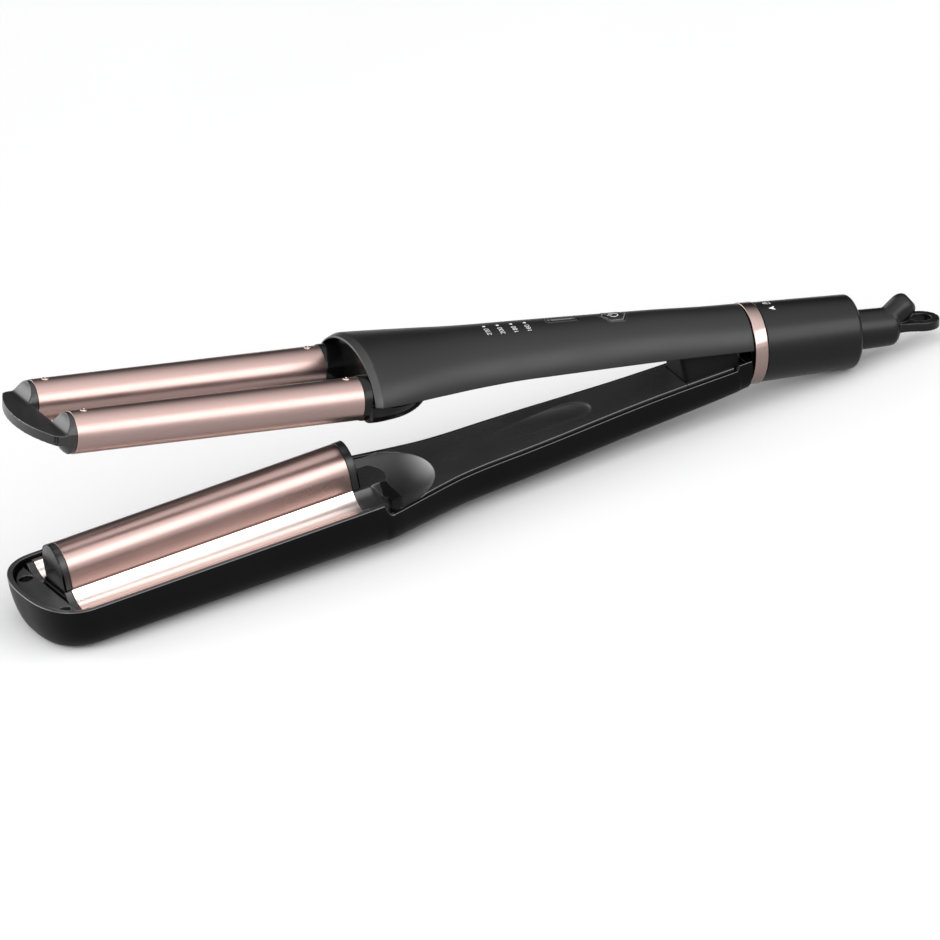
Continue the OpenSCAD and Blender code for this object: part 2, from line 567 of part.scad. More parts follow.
// Aluminium block that carries the heat to the centre barrel and the troughs
module trough_heat_block() {
    lower() color(alu) difference() {
        box(x_tf + 4, -163, -27, 27, -9.4, -1.6);
        for (s = [-1, 1]) xcyl(trough_r + 1.05, x_tf, -150, s * ty, tub_z, fn = 96);
        box(x_tf, -150, -9.3, 9.3, -2.9, 2);
        box(x_tf, -150, 25.9, 40, -3.2, 0);
        box(x_tf, -150, -40, -25.9, -3.2, 0);
    }
}
module heat_insulator() {
    lower() color("tan") difference() {
        box(x_tf + 2, -161, -25, 25, -11.4, -9.5);
        for (x = [-225, -185]) translate([x, 0, -14]) cylinder(r = 1.4, h = 6, $fn = 32);
    }
}
module thermal_cutoff() {
    lower() color(steel) union() {
        xcyl(1.7, -146.5, -137, -8, -14.4, fn = 32);
        xcyl(0.5, -150, -133, -8, -14.4, fn = 24);
    }
}
module deck_screws() {
    lower() color(steel) {
        for (x = [-225, -185]) translate([x, 0, 0]) {
            translate([0, 0, -16.2]) cylinder(r = 2.4, h = 1.4, $fn = 32);
            translate([0, 0, -14.9]) cylinder(r = 1.3, h = 4.4, $fn = 32);
        }
    }
}

upper_housing();
upper_inner_cover();
tube_socket();
socket_belly();
barrel_left();
barrel_right();
heat_spreader_left();
heat_spreader_right();
ptc_heater_left();
ptc_heater_right();
tip_bridge();
barrel_screws();
control_pcb();
tact_switches();
power_button();
temperature_rocker();
led_lenses();
hinge_bracket();
hinge_pin();
opening_spring();
rear_neck();
trim_ring();
lock_collar();
swivel_retainer();
cord_swivel();
terminal_block();
cover_screws();
lower_shell();
lower_deck();
hinge_block();
centre_barrel();
centre_front_cap();
centre_rear_cap();
trough_plate_left();
trough_plate_right();
nose_floor();
front_end_trim();
rear_saddle();
centre_spreader();
centre_ptc_heater();
trough_heat_block();
heat_insulator();
thermal_cutoff();
deck_screws();
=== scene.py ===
import json
import math
import bpy
import bmesh
from mathutils import Matrix, Vector


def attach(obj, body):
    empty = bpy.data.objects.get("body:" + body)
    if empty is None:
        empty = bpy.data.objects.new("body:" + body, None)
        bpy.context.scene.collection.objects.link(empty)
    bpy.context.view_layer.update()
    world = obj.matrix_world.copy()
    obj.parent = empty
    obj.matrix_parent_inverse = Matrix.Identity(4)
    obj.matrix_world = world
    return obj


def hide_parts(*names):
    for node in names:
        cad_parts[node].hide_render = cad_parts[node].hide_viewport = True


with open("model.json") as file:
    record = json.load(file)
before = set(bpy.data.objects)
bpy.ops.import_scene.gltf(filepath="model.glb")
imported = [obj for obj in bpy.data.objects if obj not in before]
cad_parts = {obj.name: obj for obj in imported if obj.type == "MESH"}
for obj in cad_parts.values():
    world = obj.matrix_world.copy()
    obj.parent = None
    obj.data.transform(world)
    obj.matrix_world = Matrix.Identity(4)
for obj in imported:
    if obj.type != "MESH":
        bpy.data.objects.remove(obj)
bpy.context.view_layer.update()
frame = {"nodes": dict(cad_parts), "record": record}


NODES = frame["nodes"]

# ---------------------------------------------------------------- frames (mm)
# U: upper arm, X along the collar's axis. C: lower arm as it sits when shut.
TILT = math.radians(11.92)
ORG_X, ORG_Z = 106.1, 21.92
PX, PZ = -7.0, -6.0
OPEN = math.radians(13.0)


def rot_y(a):
    c, s = math.cos(a), math.sin(a)
    return Matrix(((c, 0, s, 0), (0, 1, 0, 0), (-s, 0, c, 0), (0, 0, 0, 1)))


M_U = Matrix.Scale(0.001, 4) @ Matrix.Translation((ORG_X, 0, ORG_Z)) @ rot_y(TILT)
M_C = M_U @ Matrix.Translation((PX, 0, PZ)) @ rot_y(-OPEN) @ Matrix.Translation((-PX, 0, -PZ))
FRAMES = {"U": M_U, "C": M_C}

X_TR = -158.7
X_TF = X_TR - 113.0
TY, TZ, BR, TUB_Z = 18.4, 3.5, 8.0, 3.1


# ---------------------------------------------------------------- smooth tables
def spl(t, x):
    i = 0
    while i < len(t) - 2 and x >= t[i + 1][0]:
        i += 1

    def slope(k):
        if k == 0:
            return (t[1][1] - t[0][1]) / (t[1][0] - t[0][0])
        if k == len(t) - 1:
            return (t[k][1] - t[k - 1][1]) / (t[k][0] - t[k - 1][0])
        return (t[k + 1][1] - t[k - 1][1]) / (t[k + 1][0] - t[k - 1][0])

    h = t[i + 1][0] - t[i][0]
    s = max(0.0, min(1.0, (x - t[i][0]) / h))
    m0, m1 = slope(i) * h, slope(i + 1) * h
    return (
        (2 * s**3 - 3 * s * s + 1) * t[i][1]
        + (s**3 - 2 * s * s + s) * m0
        + (3 * s * s - 2 * s**3) * t[i + 1][1]
        + (s**3 - s * s) * m1
    )


UP_A = [[-160, 30.4], [-152.5, 30], [-146, 29.1], [-137, 27], [-128.5, 24.7], [-113, 21.3], [-95, 19.2], [-79, 18],
        [-63, 16.8], [-46, 15.7], [-30, 15], [-14, 14.8], [0, 14.8]]
UP_B = [[-160, 20.2], [-152.5, 20], [-128, 19.4], [-110, 18.7], [-82, 18], [-36, 16.5], [-14, 15.3], [0, 14.8]]
UP_E = [[-160, 2.6], [-125, 2.4], [-110, 2.6], [-95, 2.9], [-82, 2.8], [-46, 2.4], [0, 2.0]]
LO_W = [[-270, 32.1], [-156, 32.1], [-150, 31.2], [-144, 29.2], [-136, 26.6], [-128.5, 24.2], [-120, 21.9], [-110, 20.5],
        [-95.5, 19.6], [-79, 18.3], [-63, 16.6], [-46, 15], [-30, 14.2], [-14, 13.9], [0, 13.8]]
LO_B = [[-270, -18.3], [-160, -18.3], [-133, -18.8], [-112, -18.9], [-81, -18.3], [-42, -17.9], [-18, -17.1], [0, -15.9]]
LO_I = [[-270, 14], [-160, 14], [-120, 12.4], [-80, 11.4], [0, 10.4]]


# ---------------------------------------------------------------- mesh helpers
def corner_round(pts, r, n=4, closed=True, only=None):
    """Rounds the corners of a polyline of 2-D points with small arcs."""
    out = []
    m = len(pts)
    for i, p in enumerate(pts):
        if (not closed and i in (0, m - 1)) or (only is not None and i not in only):
            out.append(tuple(p))
            continue
        a, b = pts[(i - 1) % m], pts[(i + 1) % m]
        ua = (a[0] - p[0], a[1] - p[1])
        ub = (b[0] - p[0], b[1] - p[1])
        la, lb = math.hypot(*ua), math.hypot(*ub)
        rr = r[i] if isinstance(r, (list, tuple)) else r
        d = min(rr, 0.45 * la, 0.45 * lb)
        if d < 1e-6:
            out.append(tuple(p))
            continue
        pa = (p[0] + ua[0] / la * d, p[1] + ua[1] / la * d)
        pb = (p[0] + ub[0] / lb * d, p[1] + ub[1] / lb * d)
        for k in range(n + 1):
            t = k / n
            w0, w1, w2 = (1 - t) ** 2, 2 * t * (1 - t), t * t
            out.append((w0 * pa[0] + w1 * p[0] + w2 * pb[0], w0 * pa[1] + w1 * p[1] + w2 * pb[1]))
    return out


def make(name, verts, faces, space, material, body, replaces=(), slot=None, sharp=38, recalc=True):
    me = bpy.data.meshes.new(name)
    me.from_pydata([tuple(v) for v in verts], [], faces)
    me.transform(FRAMES[space])
    bm = bmesh.new()
    bm.from_mesh(me)
    bmesh.ops.remove_doubles(bm, verts=bm.verts, dist=2e-6)
    if recalc:
        bmesh.ops.recalc_face_normals(bm, faces=bm.faces)
    for f in bm.faces:
        f.smooth = True
    bm.to_mesh(me)
    bm.free()
    me.set_sharp_from_angle(angle=math.radians(sharp))
    ob = bpy.data.objects.new(name, me)
    bpy.context.scene.collection.objects.link(ob)
    me.materials.append(material)
    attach(ob, body)
    if replaces:
        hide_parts(*replaces)
    return ob


def loft_data(rings, closed=True, caps="strip"):
    n, m = len(rings[0]), len(rings)
    verts = [p for r in rings for p in r]
    faces = []
    last = n if closed else n - 1
    for i in range(m - 1):
        for j in range(last):
            k = (j + 1) % n
            faces.append((i * n + j, i * n + k, (i + 1) * n + k, (i + 1) * n + j))
    if caps == "strip":
        for o in (0, (m - 1) * n):
            for j in range(n // 2 - 1):
                faces.append((o + j, o + j + 1, o + n - 2 - j, o + n - 1 - j))
    elif caps == "fan":
        for o in (0, (m - 1) * n):
            faces.append(tuple(range(o, o + n)))
    return verts, faces


def lathe_data(prof, origin=(0, 0, 0), axis=(1, 0, 0), n=96, closed=True):
    """prof: (along, radius) pairs; turned about the axis through origin."""
    ax = Vector(axis).normalized()
    u = ax.cross(Vector((0, 1, 0)))
    if u.length < 1e-3:
        u = ax.cross(Vector((0, 0, 1)))
    u.normalize()
    v = ax.cross(u)
    o = Vector(origin)
    rings = []
    for j in range(n):
        a = 2 * math.pi * j / n
        d = u * math.cos(a) + v * math.sin(a)
        rings.append([tuple(o + ax * p[0] + d * p[1]) for p in prof])
    m = len(prof)
    verts = [p for r in rings for p in r]
    faces = []
    last = m if closed else m - 1
    for j in range(n):
        k = (j + 1) % n
        for i in range(last):
            h = (i + 1) % m
            q = [j * m + i, j * m + h, k * m + h, k * m + i]
            if prof[i][1] < 1e-6 and prof[h][1] < 1e-6:
                continue
            if prof[i][1] < 1e-6:
                q = [j * m + i, j * m + h, k * m + h]
            elif prof[h][1] < 1e-6:
                q = [j * m + i, j * m + h, k * m + i]
            faces.append(tuple(q))
    return verts, faces


def join_data(*parts):
    verts, faces = [], []
    for v, f in parts:
        o = len(verts)
        verts += list(v)
        faces += [tuple(i + o for i in q) for q in f]
    return verts, faces


def cap_data(outline, ztop, zbot, edge=0.25, rings=5, n_edge=4):
    """A button: side walls, a rounded edge and a top that follows ztop(x, y)."""
    cx = sum(p[0] for p in outline) / len(outline)
    cy = sum(p[1] for p in outline) / len(outline)
    rad = max(math.hypot(p[0] - cx, p[1] - cy) for p in outline)

    def ring(inset, drop, z=None):
        k = 1 - inset / rad
        out = []
        for p in outline:
            x, y = cx + (p[0] - cx) * k, cy + (p[1] - cy) * k
            out.append((x, y, z if z is not None else ztop(x, y) - drop))
        return out

    loops = [ring(0, 0, zbot)]
    for i in range(n_edge + 1):
        a = math.pi / 2 * i / n_edge
        loops.append(ring(edge * (1 - math.cos(a)), edge * (1 - math.sin(a))))
    for i in range(1, rings + 1):
        loops.append(ring(edge + (rad - edge) * i / (rings + 0.4), 0))
    v, f = loft_data(loops, True, None)
    n = len(outline)
    f.append(tuple(range(n)))
    o = (len(loops) - 1) * n
    v.append((cx, cy, ztop(cx, cy)))
    for j in range(n):
        f.append((o + j, o + (j + 1) % n, len(v) - 1))
    return v, f


def extrude_data(poly, plane, h0, h1):
    """poly in the plane 'yz' (pushed along x) or 'xy' (pushed along z)."""
    n = len(poly)
    if plane == "yz":
        a = [(h0, p[0], p[1]) for p in poly]
        b = [(h1, p[0], p[1]) for p in poly]
    else:
        a = [(p[0], p[1], h0) for p in poly]
        b = [(p[0], p[1], h1) for p in poly]
    faces = [tuple(range(n)), tuple(range(n, 2 * n))]
    for j in range(n):
        k = (j + 1) % n
        faces.append((j, k, n + k, n + j))
    return a + b, faces


def plain(name, data, space):
    me = bpy.data.meshes.new(name)
    me.from_pydata([tuple(v) for v in data[0]], [], data[1])
    me.transform(FRAMES[space])
    bm = bmesh.new()
    bm.from_mesh(me)
    bmesh.ops.remove_doubles(bm, verts=bm.verts, dist=2e-6)
    bmesh.ops.recalc_face_normals(bm, faces=bm.faces)
    bm.to_mesh(me)
    bm.free()
    ob = bpy.data.objects.new(name, me)
    bpy.context.scene.collection.objects.link(ob)
    return ob


def boolean(ob, tools, op="DIFFERENCE", sharp=38):
    """Applies booleans to ob's mesh and drops the tools."""
    for t in tools:
        m = ob.modifiers.new("b", "BOOLEAN")
        m.operation = op
        m.solver = "EXACT"
        m.object = t
    bpy.context.view_layer.update()
    dg = bpy.context.evaluated_depsgraph_get()
    new = bpy.data.meshes.new_from_object(ob.evaluated_get(dg))
    ob.modifiers.clear()
    old = ob.data
    ob.data = new
    new.name = old.name + "_cut"
    for t in tools:
        d = t.data
        bpy.data.objects.remove(t)
        bpy.data.meshes.remove(d)
    bpy.data.meshes.remove(old)
    for p in new.polygons:
        p.use_smooth = True
    new.set_sharp_from_angle(angle=math.radians(sharp))
    return ob


def bevel(ob, width=0.3, segments=3, angle=35, sharp=38):
    """Bevels the sharp edges of ob's mesh, width in mm."""
    bm = bmesh.new()
    bm.from_mesh(ob.data)
    bmesh.ops.dissolve_limit(bm, angle_limit=math.radians(0.6), verts=bm.verts, edges=bm.edges)
    bm.normal_update()
    edges = [e for e in bm.edges if len(e.link_faces) == 2 and e.calc_face_angle(0) > math.radians(angle)]
    bmesh.ops.bevel(bm, geom=edges, offset=width / 1000, segments=segments, profile=0.6, affect="EDGES",
                    clamp_overlap=True)
    bmesh.ops.remove_doubles(bm, verts=bm.verts, dist=2e-6)
    for f in bm.faces:
        f.smooth = True
    bm.to_mesh(ob.data)
    bm.free()
    ob.data.set_sharp_from_angle(angle=math.radians(sharp))
    return ob


# ---------------------------------------------------------------- materials
def base_nodes(name):
    m = bpy.data.materials.new(name)
    m.use_nodes = True
    nt = m.node_tree
    bsdf = nt.nodes["Principled BSDF"]
    coord = nt.nodes.new("ShaderNodeTexCoord")
    return m, nt, bsdf, coord


def noise(nt, coord, scale, detail=2.0, stretch=None, rough=0.5):
    n = nt.nodes.new("ShaderNodeTexNoise")
    n.inputs["Scale"].default_value = scale
    n.inputs["Detail"].default_value = detail
    n.inputs["Roughness"].default_value = rough
    if stretch:
        mp = nt.nodes.new("ShaderNodeMapping")
        mp.inputs["Scale"].default_value = stretch
        nt.links.new(coord.outputs["Object"], mp.inputs["Vector"])
        nt.links.new(mp.outputs["Vector"], n.inputs["Vector"])
    else:
        nt.links.new(coord.outputs["Object"], n.inputs["Vector"])
    return n


def spread(nt, src, lo, hi, a=0.3, b=0.7):
    r = nt.nodes.new("ShaderNodeMapRange")
    r.inputs["From Min"].default_value = a
    r.inputs["From Max"].default_value = b
    r.inputs["To Min"].default_value = lo
    r.inputs["To Max"].default_value = hi
    nt.links.new(src.outputs["Fac"], r.inputs["Value"])
    return r


def tint(nt, src, c0, c1, a=0.3, b=0.7):
    r = nt.nodes.new("ShaderNodeValToRGB")
    r.color_ramp.elements[0].position = a
    r.color_ramp.elements[0].color = (*c0, 1)
    r.color_ramp.elements[1].position = b
    r.color_ramp.elements[1].color = (*c1, 1)
    nt.links.new(src.outputs["Fac"], r.inputs["Fac"])
    return r


def bump(nt, bsdf, src, strength, dist):
    b = nt.nodes.new("ShaderNodeBump")
    b.inputs["Strength"].default_value = strength
    b.inputs["Distance"].default_value = dist
    nt.links.new(src.outputs["Fac"], b.inputs["Height"])
    nt.links.new(b.outputs["Normal"], bsdf.inputs["Normal"])
    return b


def plastic(name, c, rough, spec=0.3, grain=2600, grain_s=0.12, spread_r=0.05, coat=0.0):
    """Moulded plastic: fine spark-eroded grain, slight colour and gloss variation."""
    m, nt, bsdf, coord = base_nodes(name)
    cloud = noise(nt, coord, 38, 3)
    fine = noise(nt, coord, grain, 2, rough=0.6)
    col = tint(nt, cloud, [v * 0.86 for v in c], [v * 1.14 for v in c])
    nt.links.new(col.outputs["Color"], bsdf.inputs["Base Color"])
    r = spread(nt, cloud, rough - spread_r, rough + spread_r)
    nt.links.new(r.outputs["Result"], bsdf.inputs["Roughness"])
    bsdf.inputs["Specular IOR Level"].default_value = spec
    if coat:
        bsdf.inputs["Coat Weight"].default_value = coat
        bsdf.inputs["Coat Roughness"].default_value = 0.12
    bump(nt, bsdf, fine, grain_s, 0.00006)
    return m


def metal(name, c, rough, stretch=(30, 900, 900), streak=0.05, strength=0.05, spread_r=0.03):
    """Coated or bare metal with faint drawn streaks along the part."""
    m, nt, bsdf, coord = base_nodes(name)
    bsdf.inputs["Metallic"].default_value = 1.0
    lines = noise(nt, coord, 1.0, 3, stretch=stretch)
    cloud = noise(nt, coord, 55, 2)
    col = tint(nt, lines, [v * (1 - streak) for v in c], [min(1, v * (1 + streak)) for v in c], 0.35, 0.65)
    nt.links.new(col.outputs["Color"], bsdf.inputs["Base Color"])
    r = spread(nt, cloud, rough - spread_r, rough + spread_r)
    nt.links.new(r.outputs["Result"], bsdf.inputs["Roughness"])
    bump(nt, bsdf, lines, strength, 0.00002)
    return m


M = {}
M["soft_black"] = plastic("soft_black_plastic", (0.0032, 0.0032, 0.0034), 0.38, 0.27, 2600, 0.10)
M["shell_black"] = plastic("shell_black_plastic", (0.0022, 0.0022, 0.0023), 0.36, 0.05, 2600, 0.08)
M["deck_black"] = plastic("deck_black_plastic", (0.0135, 0.0135, 0.0139), 0.27, 0.50, 2400, 0.04)
M["satin_black"] = plastic("satin_black_plastic", (0.0075, 0.0075, 0.0078), 0.30, 0.34, 3200, 0.07)
# a lighter, glossier black; on the housing's front chamfer its lighter colour is a painted highlight
M["band_black"] = plastic("bevel_black_plastic", (0.009, 0.009, 0.0093), 0.34, 0.42, 2600, 0.06)
M["hinge_black"] = plastic("hinge_black_plastic", (0.0045, 0.0045, 0.0047), 0.50, 0.05, 2000, 0.05)
# lighter, glossier black for rounded rims and edges: a painted highlight line where the edges catch the light
M["edge_black"] = plastic("edge_black_plastic", (0.020, 0.020, 0.021), 0.26, 0.60, 2600, 0.05)
M["collar_black"] = plastic("collar_black_plastic", (0.0016, 0.0016, 0.0017), 0.32, 0.215, 2600, 0.08)
M["gloss_black"] = plastic("gloss_black_plastic", (0.0022, 0.0022, 0.0023), 0.20, 0.16, 900, 0.02, 0.03)
M["rose_satin"] = metal("rose_gold_satin", (0.285, 0.202, 0.186), 0.31, (9, 2600, 2600), 0.02, 0.012)
M["rose_centre"] = metal("rose_gold_centre", (0.285, 0.202, 0.186), 0.30, (9, 2600, 2600), 0.02, 0.010)
M["rose_polished"] = metal("rose_gold_polished", (0.80, 0.70, 0.66), 0.29, (9, 2600, 2600), 0.015, 0.008)
M["rose_ring"] = metal("rose_gold_ring", (0.27, 0.20, 0.185), 0.14, (1500, 300, 300), 0.03, 0.02)
# near-black and dull: painted shade laid in recesses and under parts
M["painted_shade_black"] = plastic("painted_shade_black", (0.0025, 0.0025, 0.0026), 0.50, 0.06, 1800, 0.06)
M["nose_black"] = plastic("nose_floor_black", (0.021, 0.021, 0.0215), 0.42, 0.30, 2600, 0.08)
M["rocker_grey"] = plastic("rocker_grey", (0.11, 0.11, 0.112), 0.42, 0.40, 2400, 0.06)
M["rose_screw"] = metal("rose_gold_screw", (0.42, 0.33, 0.30), 0.20, (600, 600, 600), 0.05, 0.03)
M["dark_steel"] = metal("blackened_steel", (0.05, 0.048, 0.047), 0.34, (600, 600, 600), 0.10, 0.05)
M["screw_steel"] = metal("bright_steel", (0.62, 0.61, 0.60), 0.20, (600, 600, 600), 0.05, 0.03)
M["aluminium"] = metal("drawn_aluminium", (0.70, 0.70, 0.71), 0.34, (20, 1200, 1200), 0.08, 0.15)
M["ceramic"] = plastic("ceramic_ivory", (0.66, 0.62, 0.52), 0.55, 0.3, 1600, 0.12)
M["insulation"] = plastic("mica_board", (0.34, 0.25, 0.13), 0.6, 0.3, 700, 0.4)
M["board_green"] = plastic("solder_mask_green", (0.01, 0.11, 0.04), 0.3, 0.5, 900, 0.08)
M["led_white"] = plastic("frosted_lens", (0.42, 0.42, 0.43), 0.35, 0.40, 2200, 0.06)
M["print_grey"] = plastic("pad_print_grey", (0.42, 0.42, 0.43), 0.55, 0.3, 4000, 0.05)
SLOT_LOOK = {
    "soft_black": "soft_black", "satin_black": "satin_black", "gloss_black": "gloss_black", "rose_satin": "rose_satin",
    "rose_polished": "rose_polished", "screw_steel": "screw_steel", "aluminium": "aluminium", "ceramic": "ceramic",
    "insulation": "insulation", "board_green": "board_green", "led_white": "led_white",
}
for s in frame["record"]["subparts"]:
    ob = NODES[s["node"]]
    look = M[SLOT_LOOK[s["material_slot"]]]
    if not ob.material_slots:
        ob.data.materials.append(look)
    for ms in ob.material_slots:
        ms.material = look
for n in ("hinge_bracket", "hinge_pin", "opening_spring"):
    for ms in NODES[n].material_slots:
        ms.material = M["dark_steel"]


def lin(a, b, n):
    return [a + (b - a) * i / (n - 1) for i in range(n)]


# ---------------------------------------------------------------- upper housing
def house_section(x, d, w, n=96):
    a0, b0, e = spl(UP_A, x), spl(UP_B, x), spl(UP_E, x)

    def arc(t):
        a, b = a0 - t, b0 - t
        p = math.acos(max(-1, min(1, e / b)))
        return [(a * math.sin(-p + 2 * p * i / n), b * math.cos(-p + 2 * p * i / n)) for i in range(n + 1)]

    loop = arc(d) + arc(w)[::-1]
    m = len(loop)
    loop = corner_round(loop, 0.35, 3, True, only=(0, n, n + 1, m - 1))
    return [(x, y, z) for y, z in loop]


front = [(-155.4, 1.62, 1.88), (-155.36, 1.4, 1.9), (-155.22, 1.22, 1.9), (-155.0, 1.1, 1.9), (-153.1, 0.20, 1.85),
         (-152.8, 0.09, 1.8), (-152.5, 0.03, 1.8), (-152.1, 0.0, 1.8)]
body_x = []
x = -151.2
while x < -1.2:
    body_x.append(x)
    x += 1.9
rings = [house_section(a, d, w) for a, d, w in front]
for x in body_x:
    w = 1.8 if x < -140 else 2.2 if x > -134 else 1.8 + 0.4 * (x + 140) / 6
    rings.append(house_section(x, 0, w))
rings += [house_section(-0.85, 0.0, 2.2), house_section(-0.6, 0.05, 2.15), house_section(-0.4, 0.25, 1.95)]
v, f = loft_data(rings)
housing = make("housing_shell", v, f, "U", M["soft_black"], "upper_arm", ["upper_housing"], "soft_black")


def hexagon(r, cx, k=8):
    pts = []
    for i in range(6):
        a0, a1 = math.radians(60 * i), math.radians(60 * i + 60)
        for j in range(k):
            t = j / k
            pts.append((cx + r * (math.cos(a0) * (1 - t) + math.cos(a1) * t), r * (math.sin(a0) * (1 - t) + math.sin(a1) * t)))
    return pts


def slot_outline(x0, x1, h, r=0.9, k=5):
    pts = []
    for cx, cy, a in ((x1 - r, h - r, 0), (x0 + r, h - r, 90), (x0 + r, -h + r, 180), (x1 - r, -h + r, 270)):
        for i in range(k + 1):
            t = math.radians(a + 90 * i / k)
            pts.append((cx + r * math.cos(t), cy + r * math.sin(t)))
    return pts


def disc_outline(cx, cy, r, n=32):
    return [(cx + r * math.cos(2 * math.pi * i / n), cy + r * math.sin(2 * math.pi * i / n)) for i in range(n)]


cutters = [
    plain("cut_hex", extrude_data([hexagon(5.5, -50.5, 1)[i] for i in range(6)], "xy", 8, 24), "U"),
    plain("cut_slot", extrude_data(slot_outline(-77.6, -64.4, 2.3, 1.0), "xy", 8, 24), "U"),
]
for i in range(4):
    cutters.append(plain("cut_led%d" % i, extrude_data(disc_outline(-101.4 + 5.33 * i, 0, 0.66, 24), "xy", 8, 24), "U"))
boolean(housing, cutters)

# the chamfer round the front gets a lighter, glossier copy of the housing's black: a painted highlight for the light it
# catches
front_band_painted_highlight = M["band_black"]
housing.data.materials.append(front_band_painted_highlight)
inv_u = M_U.inverted()
for p in housing.data.polygons:
    c = inv_u @ p.center
    if c.x < -152.65 and c.z > 2.7:
        nrm = (inv_u.to_3x3() @ p.normal).normalized()
        if nrm.x < -0.15 and nrm.x > -0.97:
            p.material_index = 1


def house_top(x, y):
    a, b = spl(UP_A, x), spl(UP_B, x)
    return b * math.sqrt(max(0.0, 1 - (y / a) ** 2))


# ---------------------------------------------------------------- buttons
def button_top(x, y):
    return 2.0 + math.sqrt(15.2**2 - y * y) - 0.12


v, f = cap_data(hexagon(5.22, -50.5), button_top, 14.6, 0.3, 6)
st = lathe_data([(14.4, 0), (14.4, 1.6), (14.7, 1.6), (14.7, 0)], (-50.5, 0, 0), (0, 0, 1), 32, False)
make("power_button_cap", *join_data((v, f), st), "U", M["satin_black"], "power_button", ["power_button"], "satin_black")


def rocker_top(x, y):
    d = x + 71.0
    return house_top(x, y) + 0.02 + 0.012 * d * d / 10 - 0.25 * math.exp(-((d / 2.2) ** 2))


v, f = cap_data(slot_outline(-77.25, -64.75, 1.98, 0.9, 6), rocker_top, 14.3, 0.28, 8)
make("temperature_rocker_cap", v, f, "U", M["satin_black"], "temperature_rocker", ["temperature_rocker"], "satin_black")


def frame_data(outer, inner, ztop, h=0.10, z_in=-0.8):
    """A thin raised rim round a pocket, following the surface."""
    n = len(outer)
    rows = []
    for t, dz in ((0.0, -0.05), (0.12, h * 0.7), (0.3, h), (0.75, h), (0.93, h * 0.6), (1.0, -0.1), (1.0, z_in)):
        rows.append([(outer[i][0] * (1 - t) + inner[i][0] * t, outer[i][1] * (1 - t) + inner[i][1] * t, 0) for i in range(n)])
        rows[-1] = [(p[0], p[1], ztop(p[0], p[1]) + dz) for p in rows[-1]]
    rows.append([(p[0], p[1], ztop(*p) + z_in) for p in outer])
    v, f = loft_data(rows, True, None)
    m = len(rows)
    for j in range(n):
        k = (j + 1) % n
        f.append(((m - 1) * n + j, (m - 1) * n + k, k, j))
    return v, f


make("power_button_rim", *frame_data(hexagon(5.95, -50.5), hexagon(5.42, -50.5), house_top), "U", M["band_black"],
     "upper_arm", (), "satin_black")
make("rocker_rim", *frame_data(slot_outline(-78.0, -64.0, 2.7, 1.3, 6), slot_outline(-77.5, -64.5, 2.22, 0.95, 6), house_top, 0.05),
     "U", M["soft_black"], "upper_arm", (), "satin_black")

parts = []
for i in range(4):
    xx = -101.4 + 5.33 * i
    zt = house_top(xx, 0)
    parts.append(cap_data(disc_outline(xx, 0, 0.62, 28), lambda a, b, zt=zt, xx=xx: zt + 0.05 - 0.05 * ((a - xx) ** 2 + b * b), 10.9, 0.12, 3))
make("led_lens_row", *join_data(*parts), "U", M["led_white"], "upper_arm", ["led_lenses"], "led_white")


# ---------------------------------------------------------------- printed marks and one painted highlight
def drape(polys, surf, lift=0.035):
    """Thin film of print, or of a painted highlight: 2-D polygons (x, y) laid on a surface."""
    verts, faces = [], []
    for poly in polys:
        o = len(verts)
        n = len(poly)
        for h in (lift, -0.05):
            for px_, py_ in poly:
                verts.append(surf(px_, py_, h))
        faces.append(tuple(range(o, o + n)))
        faces.append(tuple(range(o + 2 * n - 1, o + n - 1, -1)))
        for j in range(n):
            k = (j + 1) % n
            faces.append((o + j, o + k, o + n + k, o + n + j))
    return verts, faces


def stroke(pts, w, closed=False):
    """A polyline as a chain of quads of width w."""
    out = []
    m = len(pts)
    rng = m if closed else m - 1
    left, right = [], []
    for i in range(m):
        a = pts[(i - 1) % m] if closed or i > 0 else pts[i]
        b = pts[(i + 1) % m] if closed or i < m - 1 else pts[i]
        dx, dy = b[0] - a[0], b[1] - a[1]
        l = math.hypot(dx, dy) or 1
        nx, ny = -dy / l * w / 2, dx / l * w / 2
        left.append((pts[i][0] + nx, pts[i][1] + ny))
        right.append((pts[i][0] - nx, pts[i][1] - ny))
    for i in range(rng):
        k = (i + 1) % m
        out.append([left[i], left[k], right[k], right[i]])
    return out


DIGITS = {
    "0": [[(0.5, 2.6), (0.15, 2.2), (0.05, 1.3), (0.15, 0.4), (0.5, 0.0), (1.0, 0.0), (1.35, 0.4), (1.45, 1.3), (1.35, 2.2), (1.0, 2.6), (0.5, 2.6)]],
    "1": [[(0.35, 2.05), (0.85, 2.6), (0.85, 0.0)]],
    "2": [[(0.1, 2.0), (0.3, 2.45), (0.75, 2.6), (1.2, 2.42), (1.38, 1.95), (1.15, 1.45), (0.1, 0.0), (1.45, 0.0)]],
    "4": [[(1.05, 0.0), (1.05, 2.6), (0.05, 0.75), (1.5, 0.75)]],
    "6": [[(1.3, 2.4), (0.8, 2.6), (0.35, 2.2), (0.08, 1.4), (0.1, 0.6), (0.45, 0.05), (0.95, 0.0), (1.35, 0.35), (1.4, 0.9), (1.1, 1.4), (0.6, 1.45), (0.15, 1.1)]],
    "8": [[(0.75, 1.4), (0.3, 1.6), (0.2, 2.1), (0.45, 2.5), (0.75, 2.6), (1.05, 2.5), (1.3, 2.1), (1.2, 1.6), (0.75, 1.4), (0.25, 1.1), (0.08, 0.6),
           (0.35, 0.1), (0.75, 0.0), (1.15, 0.1), (1.42, 0.6), (1.25, 1.1), (0.75, 1.4)]],
}
polys = []
